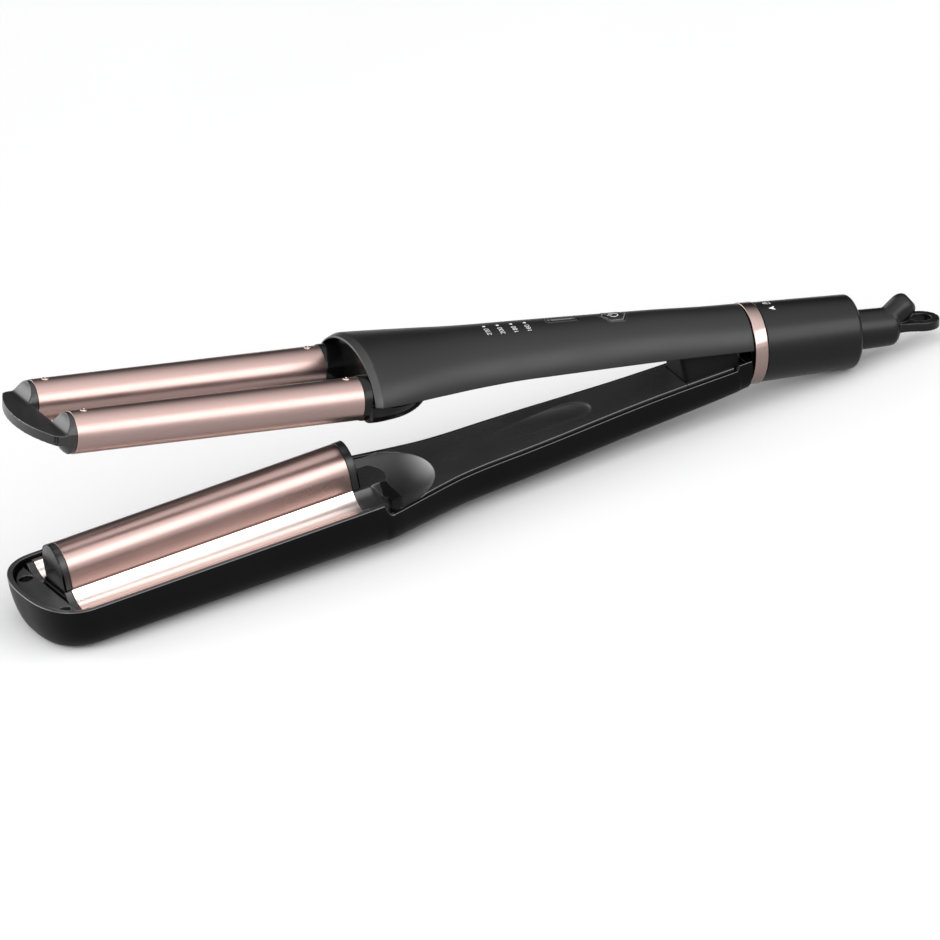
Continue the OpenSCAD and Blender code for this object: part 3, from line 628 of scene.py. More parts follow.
for i, word in enumerate(("220", "200", "180", "160")):
    xx = -101.4 + 5.33 * i
    pen = 0.0
    for ch in word:
        for line in DIGITS[ch]:
            # reads from the near side to the far side, tops towards the tip
            pts = [(xx + 0.62 - q[1] * 0.62, -6.55 + pen + q[0] * 0.80) for q in line]
            polys += stroke(pts, 0.19)
        pen += 1.52


def on_house(x, y, h):
    return (x, y, house_top(x, y) + h)


make("temperature_numbers", *drape(polys, on_house), "U", M["print_grey"], "upper_arm", (), "led_white")

sym = []
ring_pts = [(-50.5 + 1.75 * math.cos(math.radians(a)), 1.75 * math.sin(math.radians(a))) for a in range(215, 506, 15)]
sym += stroke(ring_pts, 0.3)
sym += stroke([(-50.5 - 2.3, 0.0), (-50.5 - 0.3, 0.0)], 0.3)
edge = stroke([(p[0] * 0.90 + -50.5 * 0.10, p[1] * 0.90) for p in hexagon(5.22, -50.5, 2)], 0.26, True)
make("power_outline", *drape(edge, lambda x, y, h: (x, y, button_top(x, y) + h)), "U", M["rocker_grey"], "power_button", (), "led_white")
make("power_symbol", *drape(sym, lambda x, y, h: (x, y, button_top(x, y) + h)), "U", M["print_grey"], "power_button", (), "led_white")
sym = stroke([(-75.9, -0.7), (-75.9, 0.7)], 0.26) + stroke([(-76.6, 0.0), (-76.04, 0.0)], 0.26) + stroke([(-75.76, 0.0), (-75.2, 0.0)], 0.26)
sym += stroke([(-66.1, -0.7), (-66.1, 0.7)], 0.26)
# painted highlight: a wide light strip along the rocker's top stands in for the light its raised top catches
sym += stroke([(-74.9, 0.0), (-66.6, 0.0)], 0.95)
make("rocker_marks_and_painted_highlight", *drape(sym, lambda x, y, h: (x, y, rocker_top(x, y) + h)), "U", M["rocker_grey"], "temperature_rocker", (), "led_white")

# ---------------------------------------------------------------- barrels and their screws
for s, side in ((-1, "left"), (1, "right")):
    prof = corner_round([(X_TF, 7.0), (X_TF, 8.0), (-152.5, 8.0), (-152.5, 7.0)], 0.28, 4)
    v, f = lathe_data(prof, (0, s * TY, TZ), (1, 0, 0), 128)
    make("barrel_tube_" + side, v, f, "U", M["rose_satin"], "upper_arm", ["barrel_" + side], "rose_satin")
# ---------------------------------------------------------------- socket: collars, bulkhead and the rounded underside
def belly_line(x, rr=9.6, drop=0.0):
    t = max(0.0, (x + 150) / 24.0)
    k = math.sqrt(max(0.0, 1 - t * t))
    w, d = 29 * k, 10.8 * k
    m = min(10.1, 0.38 * w)
    q = max(0.0, min(1.0, (x + 152.6) / 6.4))
    q = q * q * (3 - 2 * q)
    notch = x < -140.95

    def z_b(y):
        return 2.0 - d * math.sqrt(max(0.0, 1 - (y / w) ** 2))

    half = []
    a0, a1 = math.acos((10.1 - TY) / 9.6), math.asin(1.45 / 9.6)
    for i in range(25):
        a = a1 + (a0 - a1) * i / 24
        yl, zl = TY + rr * math.cos(a), TZ - rr * math.sin(a)
        f = max(0.0, min(1.0, (TY + 9.6 * math.cos(a) - 10.1) / (TY + 9.6 * math.cos(a1) - 10.1)))
        yb = m + f * (w - m)
        half.append(((1 - q) * yl + q * yb, (1 - q) * zl + q * z_b(yb) if f < 1 else 2.05 - 0.05 * q))
    ye, ze = half[-1]
    for t in (0.06, 0.3, 0.6, 0.94, 1.0):
        if notch:
            half.append((ye - 0.03 * t, ze + (0.2 - ze) * t))
        else:
            yy = ye * (1 - 0.16 * t)
            half.append((yy, z_b(yy)))
    mid = half[-1][0]
    for t in (0.75, 0.5, 0.25):
        half.append((mid * t, 0.2 if notch else z_b(mid * t)))
    pts = [(-y, z) for y, z in half] + [(0.0, 0.2 if notch else z_b(0))] + [(y, z) for y, z in half[::-1]]
    return [(x, y, z) for y, z in pts]


st = []
for xx, rr in ((-154.9, 9.3), (-154.86, 9.45), (-154.75, 9.53), (-154.3, 9.58)):
    st.append((xx, rr))
rings = [belly_line(x, r) for x, r in st]
rings += [belly_line(x) for x in lin(-153.6, -141.3, 18)]
rings += [belly_line(-141.0), belly_line(-140.9)]
rings += [belly_line(-150 + 24 * math.sin(math.radians(a))) for a in lin(23.3, 83.0, 22)]
rings.append(belly_line(-150 + 24 * math.sin(math.radians(83.6))))
under = loft_data(rings, True, "fan")
cuffs = []
for s in (-1, 1):
    gut = []
    for xx, rr in ((-156.3, 8.2), (-156.28, 8.32), (-156.15, 8.5), (-155.8, 8.86), (-155.35, 9.26), (-155.1, 9.43), (-154.85, 9.52), (-154.5, 9.55)):
        arc = [math.radians(a) for a in lin(8.7, 149.6, 40)]
        sec = [(TY + rr * math.cos(a), TZ - rr * math.sin(a)) for a in arc] + [(TY + 8.04 * math.cos(a), TZ - 8.04 * math.sin(a)) for a in arc[::-1]]
        gut.append([(xx, s * a, b) for a, b in sec])
    cuffs.append(loft_data(gut, True, "strip"))
    cuffs.append(lathe_data([(-158.7, 8.03), (-158.7, 8.14), (-158.62, 8.22), (-158.45, 8.28), (-158.2, 8.33), (-157.8, 8.36), (-157.2, 8.38),
                             (-156.2, 8.38), (-155.2, 8.38), (-152.0, 8.38), (-152.0, 8.03)], (0, s * TY, TZ), (1, 0, 0), 128))


def wall_ring(x, d):
    a, b, e = spl(UP_A, x) - 1.86 - d, spl(UP_B, x) - 1.86 - d, 2.0
    q = math.acos(e / b)
    pts = [(x, a * math.sin(-q + 2 * q * i / 60), b * math.cos(-q + 2 * q * i / 60)) for i in range(61)]
    return pts + [(x, pts[-1][1] * t, e) for t in (0.8, 0.4, 0.0, -0.4, -0.8)]


wall = loft_data([wall_ring(x, d) for x, d in ((-152.0, 1.6), (-152.02, 1.0), (-152.1, 0.6), (-152.3, 0.25), (-152.7, 0.02), (-149.4, 0.0))], True, "fan")
make("socket_body", *join_data(under, *cuffs), "U", M["gloss_black"], "upper_arm", ["socket_belly"], "gloss_black", 45)
make("socket_wall", *wall, "U", M["gloss_black"], "upper_arm", ["tube_socket"], "gloss_black", 45)

parts = []
for s in (-1, 1):
    for xx in (X_TF + 5.4, X_TR - 4.3):
        prof = [(5.6, 0), (5.6, 0.8), (7.9, 0.8), (7.9, 1.3), (8.02, 1.34), (8.12, 1.30), (8.28, 1.08), (8.40, 0.80),
                (8.46, 0.50), (8.47, 0.36), (8.30, 0.30), (8.30, 0.0)]
        parts.append(lathe_data(prof, (xx, s * TY, TZ), (0, 0, 1), 32, False))
make("barrel_screw_heads", *join_data(*parts), "U", M["rose_screw"], "upper_arm", ["barrel_screws"], "screw_steel", 60)

# ---------------------------------------------------------------- rear end
prof = corner_round([(0, 12.34), (0, 15.05), (5, 15.05), (5, 13.3), (4.3, 13.3), (4.3, 12.34)], 0.42, 5)
make("ring_band", *lathe_data(prof, n=160), "U", M["rose_ring"], "upper_arm", ["trim_ring"], "rose_polished")
prof = corner_round([(5.3, 12.36), (5.3, 14.6), (42.2, 13.54), (43.3, 12.4), (43.3, 7.9), (41.1, 7.9), (41.1, 12.0), (40.7, 12.36)],
                    [0.3, 0.45, 1.0, 0.8, 0.3, 0.3, 0.2, 0.2], 6)
make("collar_sleeve", *lathe_data(prof, n=160), "U", M["collar_black"], "lock_collar", ["lock_collar"], "soft_black")


def on_collar(x, y, h):
    r = 14.6 - (x - 5.3) * 1.06 / 36.9 + h
    return (x, y, math.sqrt(max(0, r * r - y * y)))


marks = []
cx, cy = 10.4, 0.3
marks += stroke([(cx - 0.75, cy - 1.0), (cx + 0.85, cy - 1.0), (cx + 0.85, cy + 1.0), (cx - 0.75, cy + 1.0)], 0.26, True)
marks += stroke([(cx - 0.75, cy - 0.62), (cx - 1.5, cy - 0.6), (cx - 1.85, cy), (cx - 1.5, cy + 0.6), (cx - 0.75, cy + 0.62)], 0.26)
marks.append([(cx + 1.1, cy - 3.2), (cx - 1.2, cy - 4.3), (cx + 1.1, cy - 5.4)])
make("lock_marks", *drape(marks, on_collar), "U", M["print_grey"], "lock_collar", (), "led_white")

# ---------------------------------------------------------------- lower shell
NOSE_M = 2.45


def rim_z(x):
    if x <= -155.2:
        return -0.8
    if x >= -152.4:
        return -5.4 if x < -6.4 else -3.5 if x > -5.4 else -5.4 + 1.9 * (x + 6.4)
    return -0.8 - 4.6 * (1 - (1 - (x + 155.2) / 2.8) ** 2)


def bulge(q, n=2.5):
    return 1 - (1 - q**n) ** (1 / n)


nose_a = [0, 0.6, 1.5, 3, 5, 8, 11, 15, 19, 24, 30, 36, 42, 48, 54, 60, 66, 71, 75, 79, 82, 85, 87, 88.5, 89.5]
shell_x = [-270.0, -266, -258, -250, -240, -230, -220, -210, -200, -190, -180, -172, -165, -160, -157, -155.8, -155.2, -155.0, -154.75, -154.5,
           -154.2, -153.9, -153.5, -153.1, -152.7, -152.4, -151.8, -150.5, -149, -147.5, -146, -144.5, -143, -141.5, -140, -138.5, -137, -135.5, -134, -132.5, -131,
           -129, -127, -125, -122.5, -120, -117, -113, -109, -104, -99, -94, -88, -82, -76, -70, -64, -58, -52, -46, -40, -34, -28, -22, -16, -10, -6.6,
           -6.4, -6.1, -5.7, -5.4, -5.0]


def shell_loop(q, t, up, drop=0.0):
    half = []
    bq = bulge(q)
    for a in nose_a:
        a = math.radians(a)
        i = t + bq * (14 - 3.5 * math.cos(a) ** 2)
        ln = 17.5 - t - 0.2 * (i - t)
        xc = -270.15 + 0.3 * (i - t)
        xx = xc - ln * math.cos(a) ** (2 / NOSE_M)
        y = (32.1 - i) * math.sin(a) ** (2 / NOSE_M)
        half.append((xx, y, -0.8 - drop - q * (-0.8 - drop - LO_B[0][1] - up)))
    for xx in shell_x:
        rz = rim_z(xx) - drop
        half.append((xx, spl(LO_W, xx) - t - bq * spl(LO_I, xx), rz - q * (rz - spl(LO_B, xx) - up)))
    z = -3.5 - drop - q * (-3.5 - drop - spl(LO_B, -1) - up)
    xe = PX + (6.5 + min(0, z - PZ) * math.sin(OPEN)) / math.cos(OPEN) - t
    half.append((xe, spl(LO_W, -1) - t - bq * spl(LO_I, -1), z))
    return half + [(p[0], -p[1], p[2]) for p in half[:0:-1]]


loops = [shell_loop(q, 0, 0) for q in (1, 0.998, 0.99, 0.975, 0.95, 0.92, 0.88, 0.83, 0.77, 0.7, 0.62, 0.53, 0.43, 0.32, 0.2, 0.1, 0.03)]
loops += [shell_loop(0, t, 0, d) for t, d in ((0.0, 0.38), (0.03, 0.22), (0.11, 0.1), (0.24, 0.02), (0.4, 0.0), (1.2, 0.0), (1.85, 0.0),
                                             (2.03, 0.03), (2.14, 0.12), (2.2, 0.3))]
loops += [shell_loop(q, 2.2, 2) for q in (0.1, 0.25, 0.4, 0.55, 0.68, 0.8, 0.89, 0.95, 0.985, 1)]
v, f = loft_data(loops, True, None)
n = len(loops[0])
h = (n + 1) // 2


def strip(o):
    out = [(o, o + 1, o + n - 1)]
    for j in range(1, h - 1):
        out.append((o + j, o + j + 1, o + n - j - 1, o + n - j))
    return out


f += strip(0) + strip((len(loops) - 1) * n)
shell = make("lower_tub", v, f, "C", M["shell_black"], "lower_arm", ["lower_shell"], "soft_black")
tools = []
for xx in (-225, -185):
    tools.append(plain("cut_screw", lathe_data([(-25, 0), (-25, 1.6), (-10, 1.6), (-10, 0)], (xx, 0, 0), (0, 0, 1), 32, False), "C"))
boolean(shell, tools)
# painted highlight: the rim's rounded faces get the lighter edge black to show the light line along the rim
shell.data.materials.append(M["edge_black"])
inv_c = M_C.inverted()
for q in shell.data.polygons:
    c = inv_c @ q.center
    nn = (inv_c.to_3x3() @ q.normal).normalized()
    rz = rim_z(max(-270.0, c.x))
    if rz - 0.36 < c.z < rz + 0.05 and (c.x < -152 or 0.2 < nn.z < 0.93):
        q.material_index = 1

# ---------------------------------------------------------------- deck with the bowl and the thumb hollow
DECK_Z = -4.6


def deck_w(x):
    return spl(LO_W, x) - 2.2 - 0.35


def bowl_r(x, y):
    return ((x + 149) / 24) ** 2 + (y / 28.4) ** 2


def deck_top(x, y):
    r = bowl_r(x, y)
    b = 0 if r >= 1 else 6.4 * (1 - r) ** 0.75
    u = (x + 68) / 8 if x > -68 else (x + 68) / 34
    r = u * u + (y / 8.5) ** 2
    t = 0 if r >= 1 else 1.35 * (0.35 + 0.65 * min(1.0, max(0.0, (x + 86) / 18))) * (1 - r) ** 0.7
    return DECK_Z - b - t - 0.0006 * y * y - 0.00001 * (x + 90) ** 2


def bowl_end(vv):
    lo, hi = -148.0, -124.0
    for _ in range(40):
        mid = (lo + hi) / 2
        if bowl_r(mid, vv * deck_w(mid)) < 1:
            lo = mid
        else:
            hi = mid
    return lo


vs = lin(-1, 1, 81)
cols = []
nb, nm = 30, 14
tail = lin(-100, -78, 12)[1:] + lin(-78, -57, 43)[1:] + lin(-57, -25.7, 14)[1:]
for vv in vs:
    xe = bowl_end(vv)
    xs = [-148 + (xe + 148) * (1 - (1 - i / nb) ** 2.2) for i in range(nb + 1)]
    xs += [xe + (-100 - xe) * ((i / nm) ** 1.3) for i in range(1, nm + 1)]
    cols.append(xs + tail)
rings = []
for i in range(len(cols[0])):
    top = [(cols[j][i], vs[j] * deck_w(cols[j][i])) for j in range(len(vs))]
    pts = []
    # rounded edges: the outermost points turn down over 0.4 mm
    k = len(top) - 1

    def edge(p, s):
        zt = deck_top(p[0], p[1])
        y = p[1]
        return [(p[0], y, zt - 2.4), (p[0], y, zt - 0.42), (p[0], y - s * 0.03, zt - 0.24), (p[0], y - s * 0.12, zt - 0.1),
                (p[0], y - s * 0.26, zt - 0.02)]

    pts += edge(top[0], -1)
    pts += [(p[0], p[1] * (1 - 0.42 / deck_w(p[0])), deck_top(p[0], p[1])) for p in top]
    pts += edge(top[k], 1)[::-1]
    m = len(pts)
    under = [(p[0], p[1] * (1 - 1.2 / deck_w(p[0])), min(deck_top(p[0], p[1]) - 1.8, deck_top(p[0], p[1]))) for p in top]
    under = [(under[0][0], pts[0][1], pts[0][2] - 0.01)] + under[:: 1] + [(under[-1][0], pts[-1][1], pts[-1][2] - 0.01)]
    rings.append(pts + under[::-1])
nmax = len(rings[0])
v, f = loft_data(rings, True, "fan")
deck = make("deck_plate", v, f, "C", M["deck_black"], "lower_arm", ["lower_deck"], "satin_black", 50)
# painted highlight: the deck's rounded edge faces get the lighter edge black to show the light line along them
deck.data.materials.append(M["edge_black"])
for q in deck.data.polygons:
    c, nn = inv_c @ q.center, (inv_c.to_3x3() @ q.normal).normalized()
    if abs(c.y) > deck_w(c.x) - 0.40 and c.z > deck_top(c.x, c.y) - 0.5 and 0.15 < nn.z < 0.95:
        q.material_index = 1

# the deck's edge carries on beside the hinge block
strips = []
for sg in (-1, 1):
    rings = []
    for x in lin(-25.5, -6.9, 24):
        wo = deck_w(x)
        zt = DECK_Z - 0.0006 * wo * wo - 0.05
        sec = [(9.9, zt - 2.0), (9.9, zt), (wo - 0.45, zt), (wo - 0.26, zt - 0.03), (wo - 0.12, zt - 0.11), (wo - 0.03, zt - 0.25), (wo, zt - 0.44), (wo, zt - 2.0)]
        rings.append([(x, sg * a, b) for a, b in sec])
    strips.append(loft_data(rings, True, "fan"))
tail_strip = make("deck_side_strips", *join_data(*strips), "C", M["deck_black"], "lower_arm", (), "satin_black", 50)
# painted highlight: the strips' rounded edge faces get the lighter edge black
tail_strip.data.materials.append(M["edge_black"])
for q in tail_strip.data.polygons:
    c, nn = inv_c @ q.center, (inv_c.to_3x3() @ q.normal).normalized()
    if abs(c.y) > deck_w(c.x) - 0.40 and c.z > DECK_Z - 0.7 and 0.15 < nn.z < 0.95:
        q.material_index = 1

# ---------------------------------------------------------------- centre barrel and its caps
CR, CZ = 9.0, 5.2


def dee(r, z0, k=72, inset=0.0):
    pts = []
    for i in range(k + 1):
        a = math.pi * i / k
        pts.append(((r - inset) * math.cos(a), CZ + (r - inset) * math.sin(a)))
    side = [CZ + (z0 + inset - CZ) * t for t in (0.2, 0.4, 0.6, 0.8, 0.94)]
    pts += [(-(r - inset), z) for z in side]
    pts += [(-(r - inset), z0 + inset), (r - inset, z0 + inset)]
    pts += [(r - inset, z) for z in side[::-1]]
    return pts


def dee_loft(r, x0, x1, z0, e0=0.3, e1=0.3, k=72):
    rings = []
    for i in range(5):
        a = math.pi / 2 * i / 4
        rings.append([(x0 + e0 * (1 - math.sin(a)), y, z) for y, z in dee(r, z0, k, e0 * (1 - math.cos(a)))][:])
    rings = [[(x0 + e0 * (1 - math.cos(math.pi / 2 * i / 4)), y, z) for y, z in dee(r, z0, k, e0 * (1 - math.sin(math.pi / 2 * i / 4)))] for i in range(5)]
    rings += [[(x0 + (x1 - x0) * t, y, z) for y, z in dee(r, z0, k)] for t in lin(0.02, 0.98, 9)]
    rings += [[(x1 - e1 * (1 - math.cos(math.pi / 2 * i / 4)), y, z) for y, z in dee(r, z0, k, e1 * (1 - math.sin(math.pi / 2 * i / 4)))] for i in range(4, -1, -1)]
    return loft_data(rings, True, "fan")


centre = make("centre_barrel_skin", *dee_loft(CR, X_TF + 0.7, -158.4, -1.5, 0.22, 0.22, 96), "C", M["rose_centre"], "lower_arm",
              ["centre_barrel"], "rose_satin")
inner = plain("cut_dee", dee_loft(CR - 1.2, X_TF - 3, -157, -6, 0.01, 0.01, 48), "C")
boolean(centre, [inner])
fc = join_data(dee_loft(CR + 0.1, X_TF - 2.3, X_TF + 0.6, -2.0, 0.7, 0.15, 96), dee_loft(CR - 1.3, X_TF + 0.61, X_TF + 6, -1.4, 0.1, 0.3, 48))
make("front_cap", *fc, "C", M["satin_black"], "lower_arm", ["centre_front_cap"], "satin_black")
rc = join_data(dee_loft(CR + 0.1, -158.3, -155.3, -1.3, 0.15, 0.5, 96), dee_loft(CR - 1.3, -163, -158.31, -1.2, 0.3, 0.1, 48))
make("rear_cap", *rc, "C", M["satin_black"], "lower_arm", ["centre_rear_cap"], "satin_black")

# ---------------------------------------------------------------- polished troughs
for s, side in ((-1, "left"), (1, "right")):
    R = 9.4
    a0 = math.acos(9.2 / R)
    top = []
    # from the inner lip by the centre barrel, round the bottom, to the flange
    start = math.pi + math.asin(min(1, (TUB_Z + 1.1) / R))
    for i in range(65):
        a = start + (2 * math.pi - math.acos(7.86 / R) - start) * i / 64
        top.append((R * math.cos(a), TUB_Z + R * math.sin(a)))
    fl = [(8.15, -2.12), (8.5, -2.1), (10.7, -2.1), (10.92, -2.14), (11.0, -2.3), (11.0, -2.95), (10.9, -3.08), (10.6, -3.1), (8.7, -3.1)]
    low = []
    for i in range(49):
        a = 2 * math.pi - math.acos(8.3 / (R + 1)) - 0.02 + (math.pi + 0.42 - (2 * math.pi - math.acos(8.3 / (R + 1)) - 0.02)) * i / 48
        low.append(((R + 1) * math.cos(a), TUB_Z + (R + 1) * math.sin(a)))
    low = [p for p in low if p[0] > -9.2 and p[1] < -1.2]
    loop = top + fl + low + [(-9.2, low[-1][1] - 0.0)]
    loop = [(s * (TY + p[0]), p[1]) for p in loop]
    x0, x1 = X_TF, X_TR - 0.2
    rings = [[(xx, y, z) for y, z in loop] for xx in (x0, x0 + 0.05, x0 + 4, (x0 + x1) / 2, x1 - 4, x1 - 0.05, x1)]
    v, f = loft_data(rings, True, "fan")
    make("trough_" + side, v, f, "C", M["rose_polished"], "lower_arm", ["trough_plate_" + side], "rose_polished", 30)

# ---------------------------------------------------------------- moulded parts with softened edges
def soften(name, source, voxel, rounds, material, body, replaces, factor=0.5, cuts=()):
    """Joins closed shapes, cuts holes, then relaxes the surface, so its edges get a moulded radius."""
    ob = bpy.data.objects.new(name, source.copy())
    bpy.context.scene.collection.objects.link(ob)
    m = ob.modifiers.new("r", "REMESH")
    m.mode = "VOXEL"
    m.voxel_size = voxel / 1000
    m.adaptivity = 0.0
    for c in cuts:
        m = ob.modifiers.new("c", "BOOLEAN")
        m.operation = "DIFFERENCE"
        m.solver = "EXACT"
        m.object = c
    if cuts:
        m = ob.modifiers.new("r2", "REMESH")
        m.mode = "VOXEL"
        m.voxel_size = voxel / 1000
        m.adaptivity = 0.0
    m = ob.modifiers.new("s", "SMOOTH")
    m.factor = factor
    m.iterations = rounds
    bpy.context.view_layer.update()
    new = bpy.data.meshes.new_from_object(ob.evaluated_get(bpy.context.evaluated_depsgraph_get()))
    ob.modifiers.clear()
    old = ob.data
    ob.data = new
    bpy.data.meshes.remove(old)
    for c in cuts:
        d = c.data
        bpy.data.objects.remove(c)
        bpy.data.meshes.remove(d)
    new.name = name
    new.materials.clear()
    new.materials.append(material)
    for q in new.polygons:
        q.use_smooth = True
        q.material_index = 0
    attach(ob, body)
    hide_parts(*replaces)
    return ob



def box_data(lo, hi):
    c = [(x, y, z) for x in (lo[0], hi[0]) for y in (lo[1], hi[1]) for z in (lo[2], hi[2])]
    return c, [(0, 1, 3, 2), (4, 6, 7, 5), (0, 4, 5, 1), (2, 3, 7, 6), (0, 2, 6, 4), (1, 5, 7, 3)]


def joined(name, sources, space=None, change=None):
    """One mesh from several: raw data in a frame's millimetres, or a CAD mesh in metres."""
    bm = bmesh.new()
    for src in sources:
        if isinstance(src, tuple):
            me = bpy.data.meshes.new("t")
            me.from_pydata([tuple(q) for q in src[0]], [], src[1])
            me.transform(FRAMES[space])
        else:
            me = src.copy()
        one = bmesh.new()
        one.from_mesh(me)
        bmesh.ops.remove_doubles(one, verts=one.verts, dist=1e-6)
        bmesh.ops.recalc_face_normals(one, faces=one.faces)
        one.to_mesh(me)
        one.free()
        bm.from_mesh(me)
        bpy.data.meshes.remove(me)
    if change:
        inv = FRAMES[space].inverted()
        for q in bm.verts:
            q.co = FRAMES[space] @ Vector(change(inv @ q.co))
    me = bpy.data.meshes.new(name)
    bm.to_mesh(me)
    bm.free()
    return me


# tip: fuller ramps down from the plugs to the crescent
ramp_parts = []
for sg in (-1, 1):
    rings = []
    for z in (4.4, 5.0, 5.6, 6.3, 7.0, 7.8, 8.6, 9.3, 10.0, 10.5, 10.9, 11.1, 11.2):
        h = math.sqrt(max(0.09, 7.74**2 - (z - TZ) ** 2))
        x = -282.87 + math.sqrt(9.6**2 - (z - 12.3) ** 2)
        rings.append([(x, sg * TY - h, z), (x, sg * TY + h, z), (-271.4, sg * TY + h, z), (-271.4, sg * TY - h, z)])
    ramp_parts.append(loft_data(rings, True, "fan"))


def stretch(q):
    return (-276.5 + (q.x + 276.5) * 1.075, q.y, q.z) if q.x < -276.5 else (q.x, q.y, q.z)


tip_ramps = joined("tip_ramps", ramp_parts, "U")
tip_cad = joined("tip_cad", [NODES["tip_bridge"].data], "U", stretch)
tip_all = joined("tip_all", [tip_cad, tip_ramps])
cuts = [plain("cut_notch%d" % i, box_data((-280.3, min(sg * 24.5, sg * 28), 1.95), (-279.1, max(sg * 24.5, sg * 28), 4.95)), "U") for i, sg in enumerate((-1, 1))]
tip = soften("tip_crescent", tip_all, 0.24, 3, M["satin_black"], "upper_arm", ["tip_bridge"], 0.5, cuts)
# painted highlight: the crescent's rounded upper outer edge gets the lighter edge black
tip.data.materials.append(M["edge_black"])
for q in tip.data.polygons:
    c, nn = inv_u @ q.center, (inv_u.to_3x3() @ q.normal).normalized()
    if c.x < -277.5 and c.z > 4.6 and math.hypot(c.x + 222.2, c.y) > 62.4 and 0.25 < nn.z < 0.93:
        q.material_index = 1

cuts = []
for i, sg in enumerate((-1, 1)):
    arc = [(-25.4 + 2.6 * (1 - math.cos(math.radians(a))), sg * (10.2 - 2.6 * (1 - math.sin(math.radians(a))))) for a in lin(0, 90, 9)]
    poly = [(-26.4, sg * 7.6)] + arc + [(-22.8, sg * 11.2), (-26.4, sg * 11.2)]
    cuts.append(plain("cut_corner%d" % i, extrude_data(poly if sg < 0 else poly[::-1], "xy", -12.0, 9.0), "C"))
cuts.append(plain("cut_spring_seat", lathe_data([(-11.5, 0), (-11.5, 4.7), (9, 4.7), (9, 0)], (-16.6, 0, 0), (0, 0, 1), 64, False), "C"))
soften("hinge_knuckle", NODES["hinge_block"].data, 0.30, 5, M["hinge_black"], "lower_arm", ["hinge_block"], 0.5, cuts)

# cord swivel: hub, bell-ended boot and hanging loop
hub = lathe_data([(32.8, 0), (32.8, 9.6), (34.9, 9.6), (34.9, 6.0), (40.7, 6.0), (40.7, 7.5), (58.2, 7.06), (59.2, 6.85), (60.1, 6.2), (60.9, 5.1),
                  (61.3, 4.2), (61.4, 0)], n=96, closed=False)
ba = math.radians(39)
boot = lathe_data([(0, 0), (0, 4.75), (6, 4.85), (9.5, 5.0), (11.0, 5.02), (12.0, 4.9), (12.8, 4.68), (13.6, 4.28), (14.2, 3.82), (14.7, 3.2), (15.0, 2.5), (15.0, 0)],
                  (54.9, 0, 0), (math.cos(ba), 0, math.sin(ba)), 96, False)
loop = lathe_data([(-1.2, 0), (-1.2, 7.0), (2.2, 7.0), (2.2, 0)], (70.8, 0, 0), (0, 0, 1), 96, False)
web = extrude_data([(57, -5.0), (57, 5.0), (65, 5.6), (69, 6.6), (69, -6.6), (65, -5.6)], "xy", -1.2, 2.2)
rise = extrude_data([(57.0, -3.6), (57.0, 3.6), (64.5, 2.6), (64.5, -2.6)], "xy", 0.0, 4.6)
swivel = joined("swivel_raw", [hub, boot, loop, web, rise], "U")
cuts = [plain("cut_loop", lathe_data([(-3, 0), (-3, 4.0), (6, 4.0), (6, 0)], (70.8, 0, 0), (0, 0, 1), 64, False), "U"),
        plain("cut_cord", lathe_data([(30, 0), (30, 3.5), (54.9, 3.5), (56.6, 3.1), (57.8, 2.0), (58.4, 0)], n=48, closed=False), "U"),
        plain("cut_boot", lathe_data([(-1, 0), (-1, 2.4), (20, 2.4), (20, 0)], (54.9, 0, 0), (math.cos(ba), 0, math.sin(ba)), 48, False), "U")]
soften("swivel_boot", swivel, 0.28, 5, M["collar_black"], "cord_swivel", ["cord_swivel"], 0.5, cuts)
cuts = [plain("cut_dimple%d" % i, lathe_data([(-4.95, 0), (-4.95, 2.5), (0, 2.75), (0, 0)], (-279.0, sg * 18.2, 0), (0, 0, 1), 48, False), "C")
        for i, sg in enumerate((-1, 1))]
nose = soften("nose_plate", NODES["nose_floor"].data, 0.24, 3, M["nose_black"], "lower_arm", ["nose_floor"], 0.5, cuts)
# painted shade: the bottoms and walls of the two dimples get the near-black
nose.data.materials.append(M["painted_shade_black"])
for q in nose.data.polygons:
    c = inv_c @ q.center
    if c.z < -3.75 and (c.x + 279.0) ** 2 + (abs(c.y) - 18.2) ** 2 < 2.9**2:
        q.material_index = 1
strip = soften("trough_end_strip", NODES["front_end_trim"].data, 0.24, 4, M["band_black"], "lower_arm", ["front_end_trim"])
# painted shade: the middle of the strip, under the front cap, gets the near-black
strip.data.materials.append(M["painted_shade_black"])
for q in strip.data.polygons:
    c = inv_c @ q.center
    if abs(c.y) < 9.4:
        q.material_index = 1


belly_rows = {}


def belly_low(x, ay):
    """Lowest height of the socket's belly over the half width ay, arms shut."""
    if x < -152.6:
        return 9.0
    if x not in belly_rows:
        row = sorted((q[1], q[2]) for q in belly_line(x) if q[1] > 0.5)
        belly_rows[x] = row
    row = belly_rows[x]
    low = 9.0
    for (y0, z0), (y1, z1) in zip(row, row[1:]):
        if y0 - 0.8 <= ay <= y1 + 0.8:
            t = min(1.0, max(0.0, (ay - y0) / (y1 - y0))) if y1 > y0 else 0.0
            low = min(low, z0 + (z1 - z0) * t)
    return low


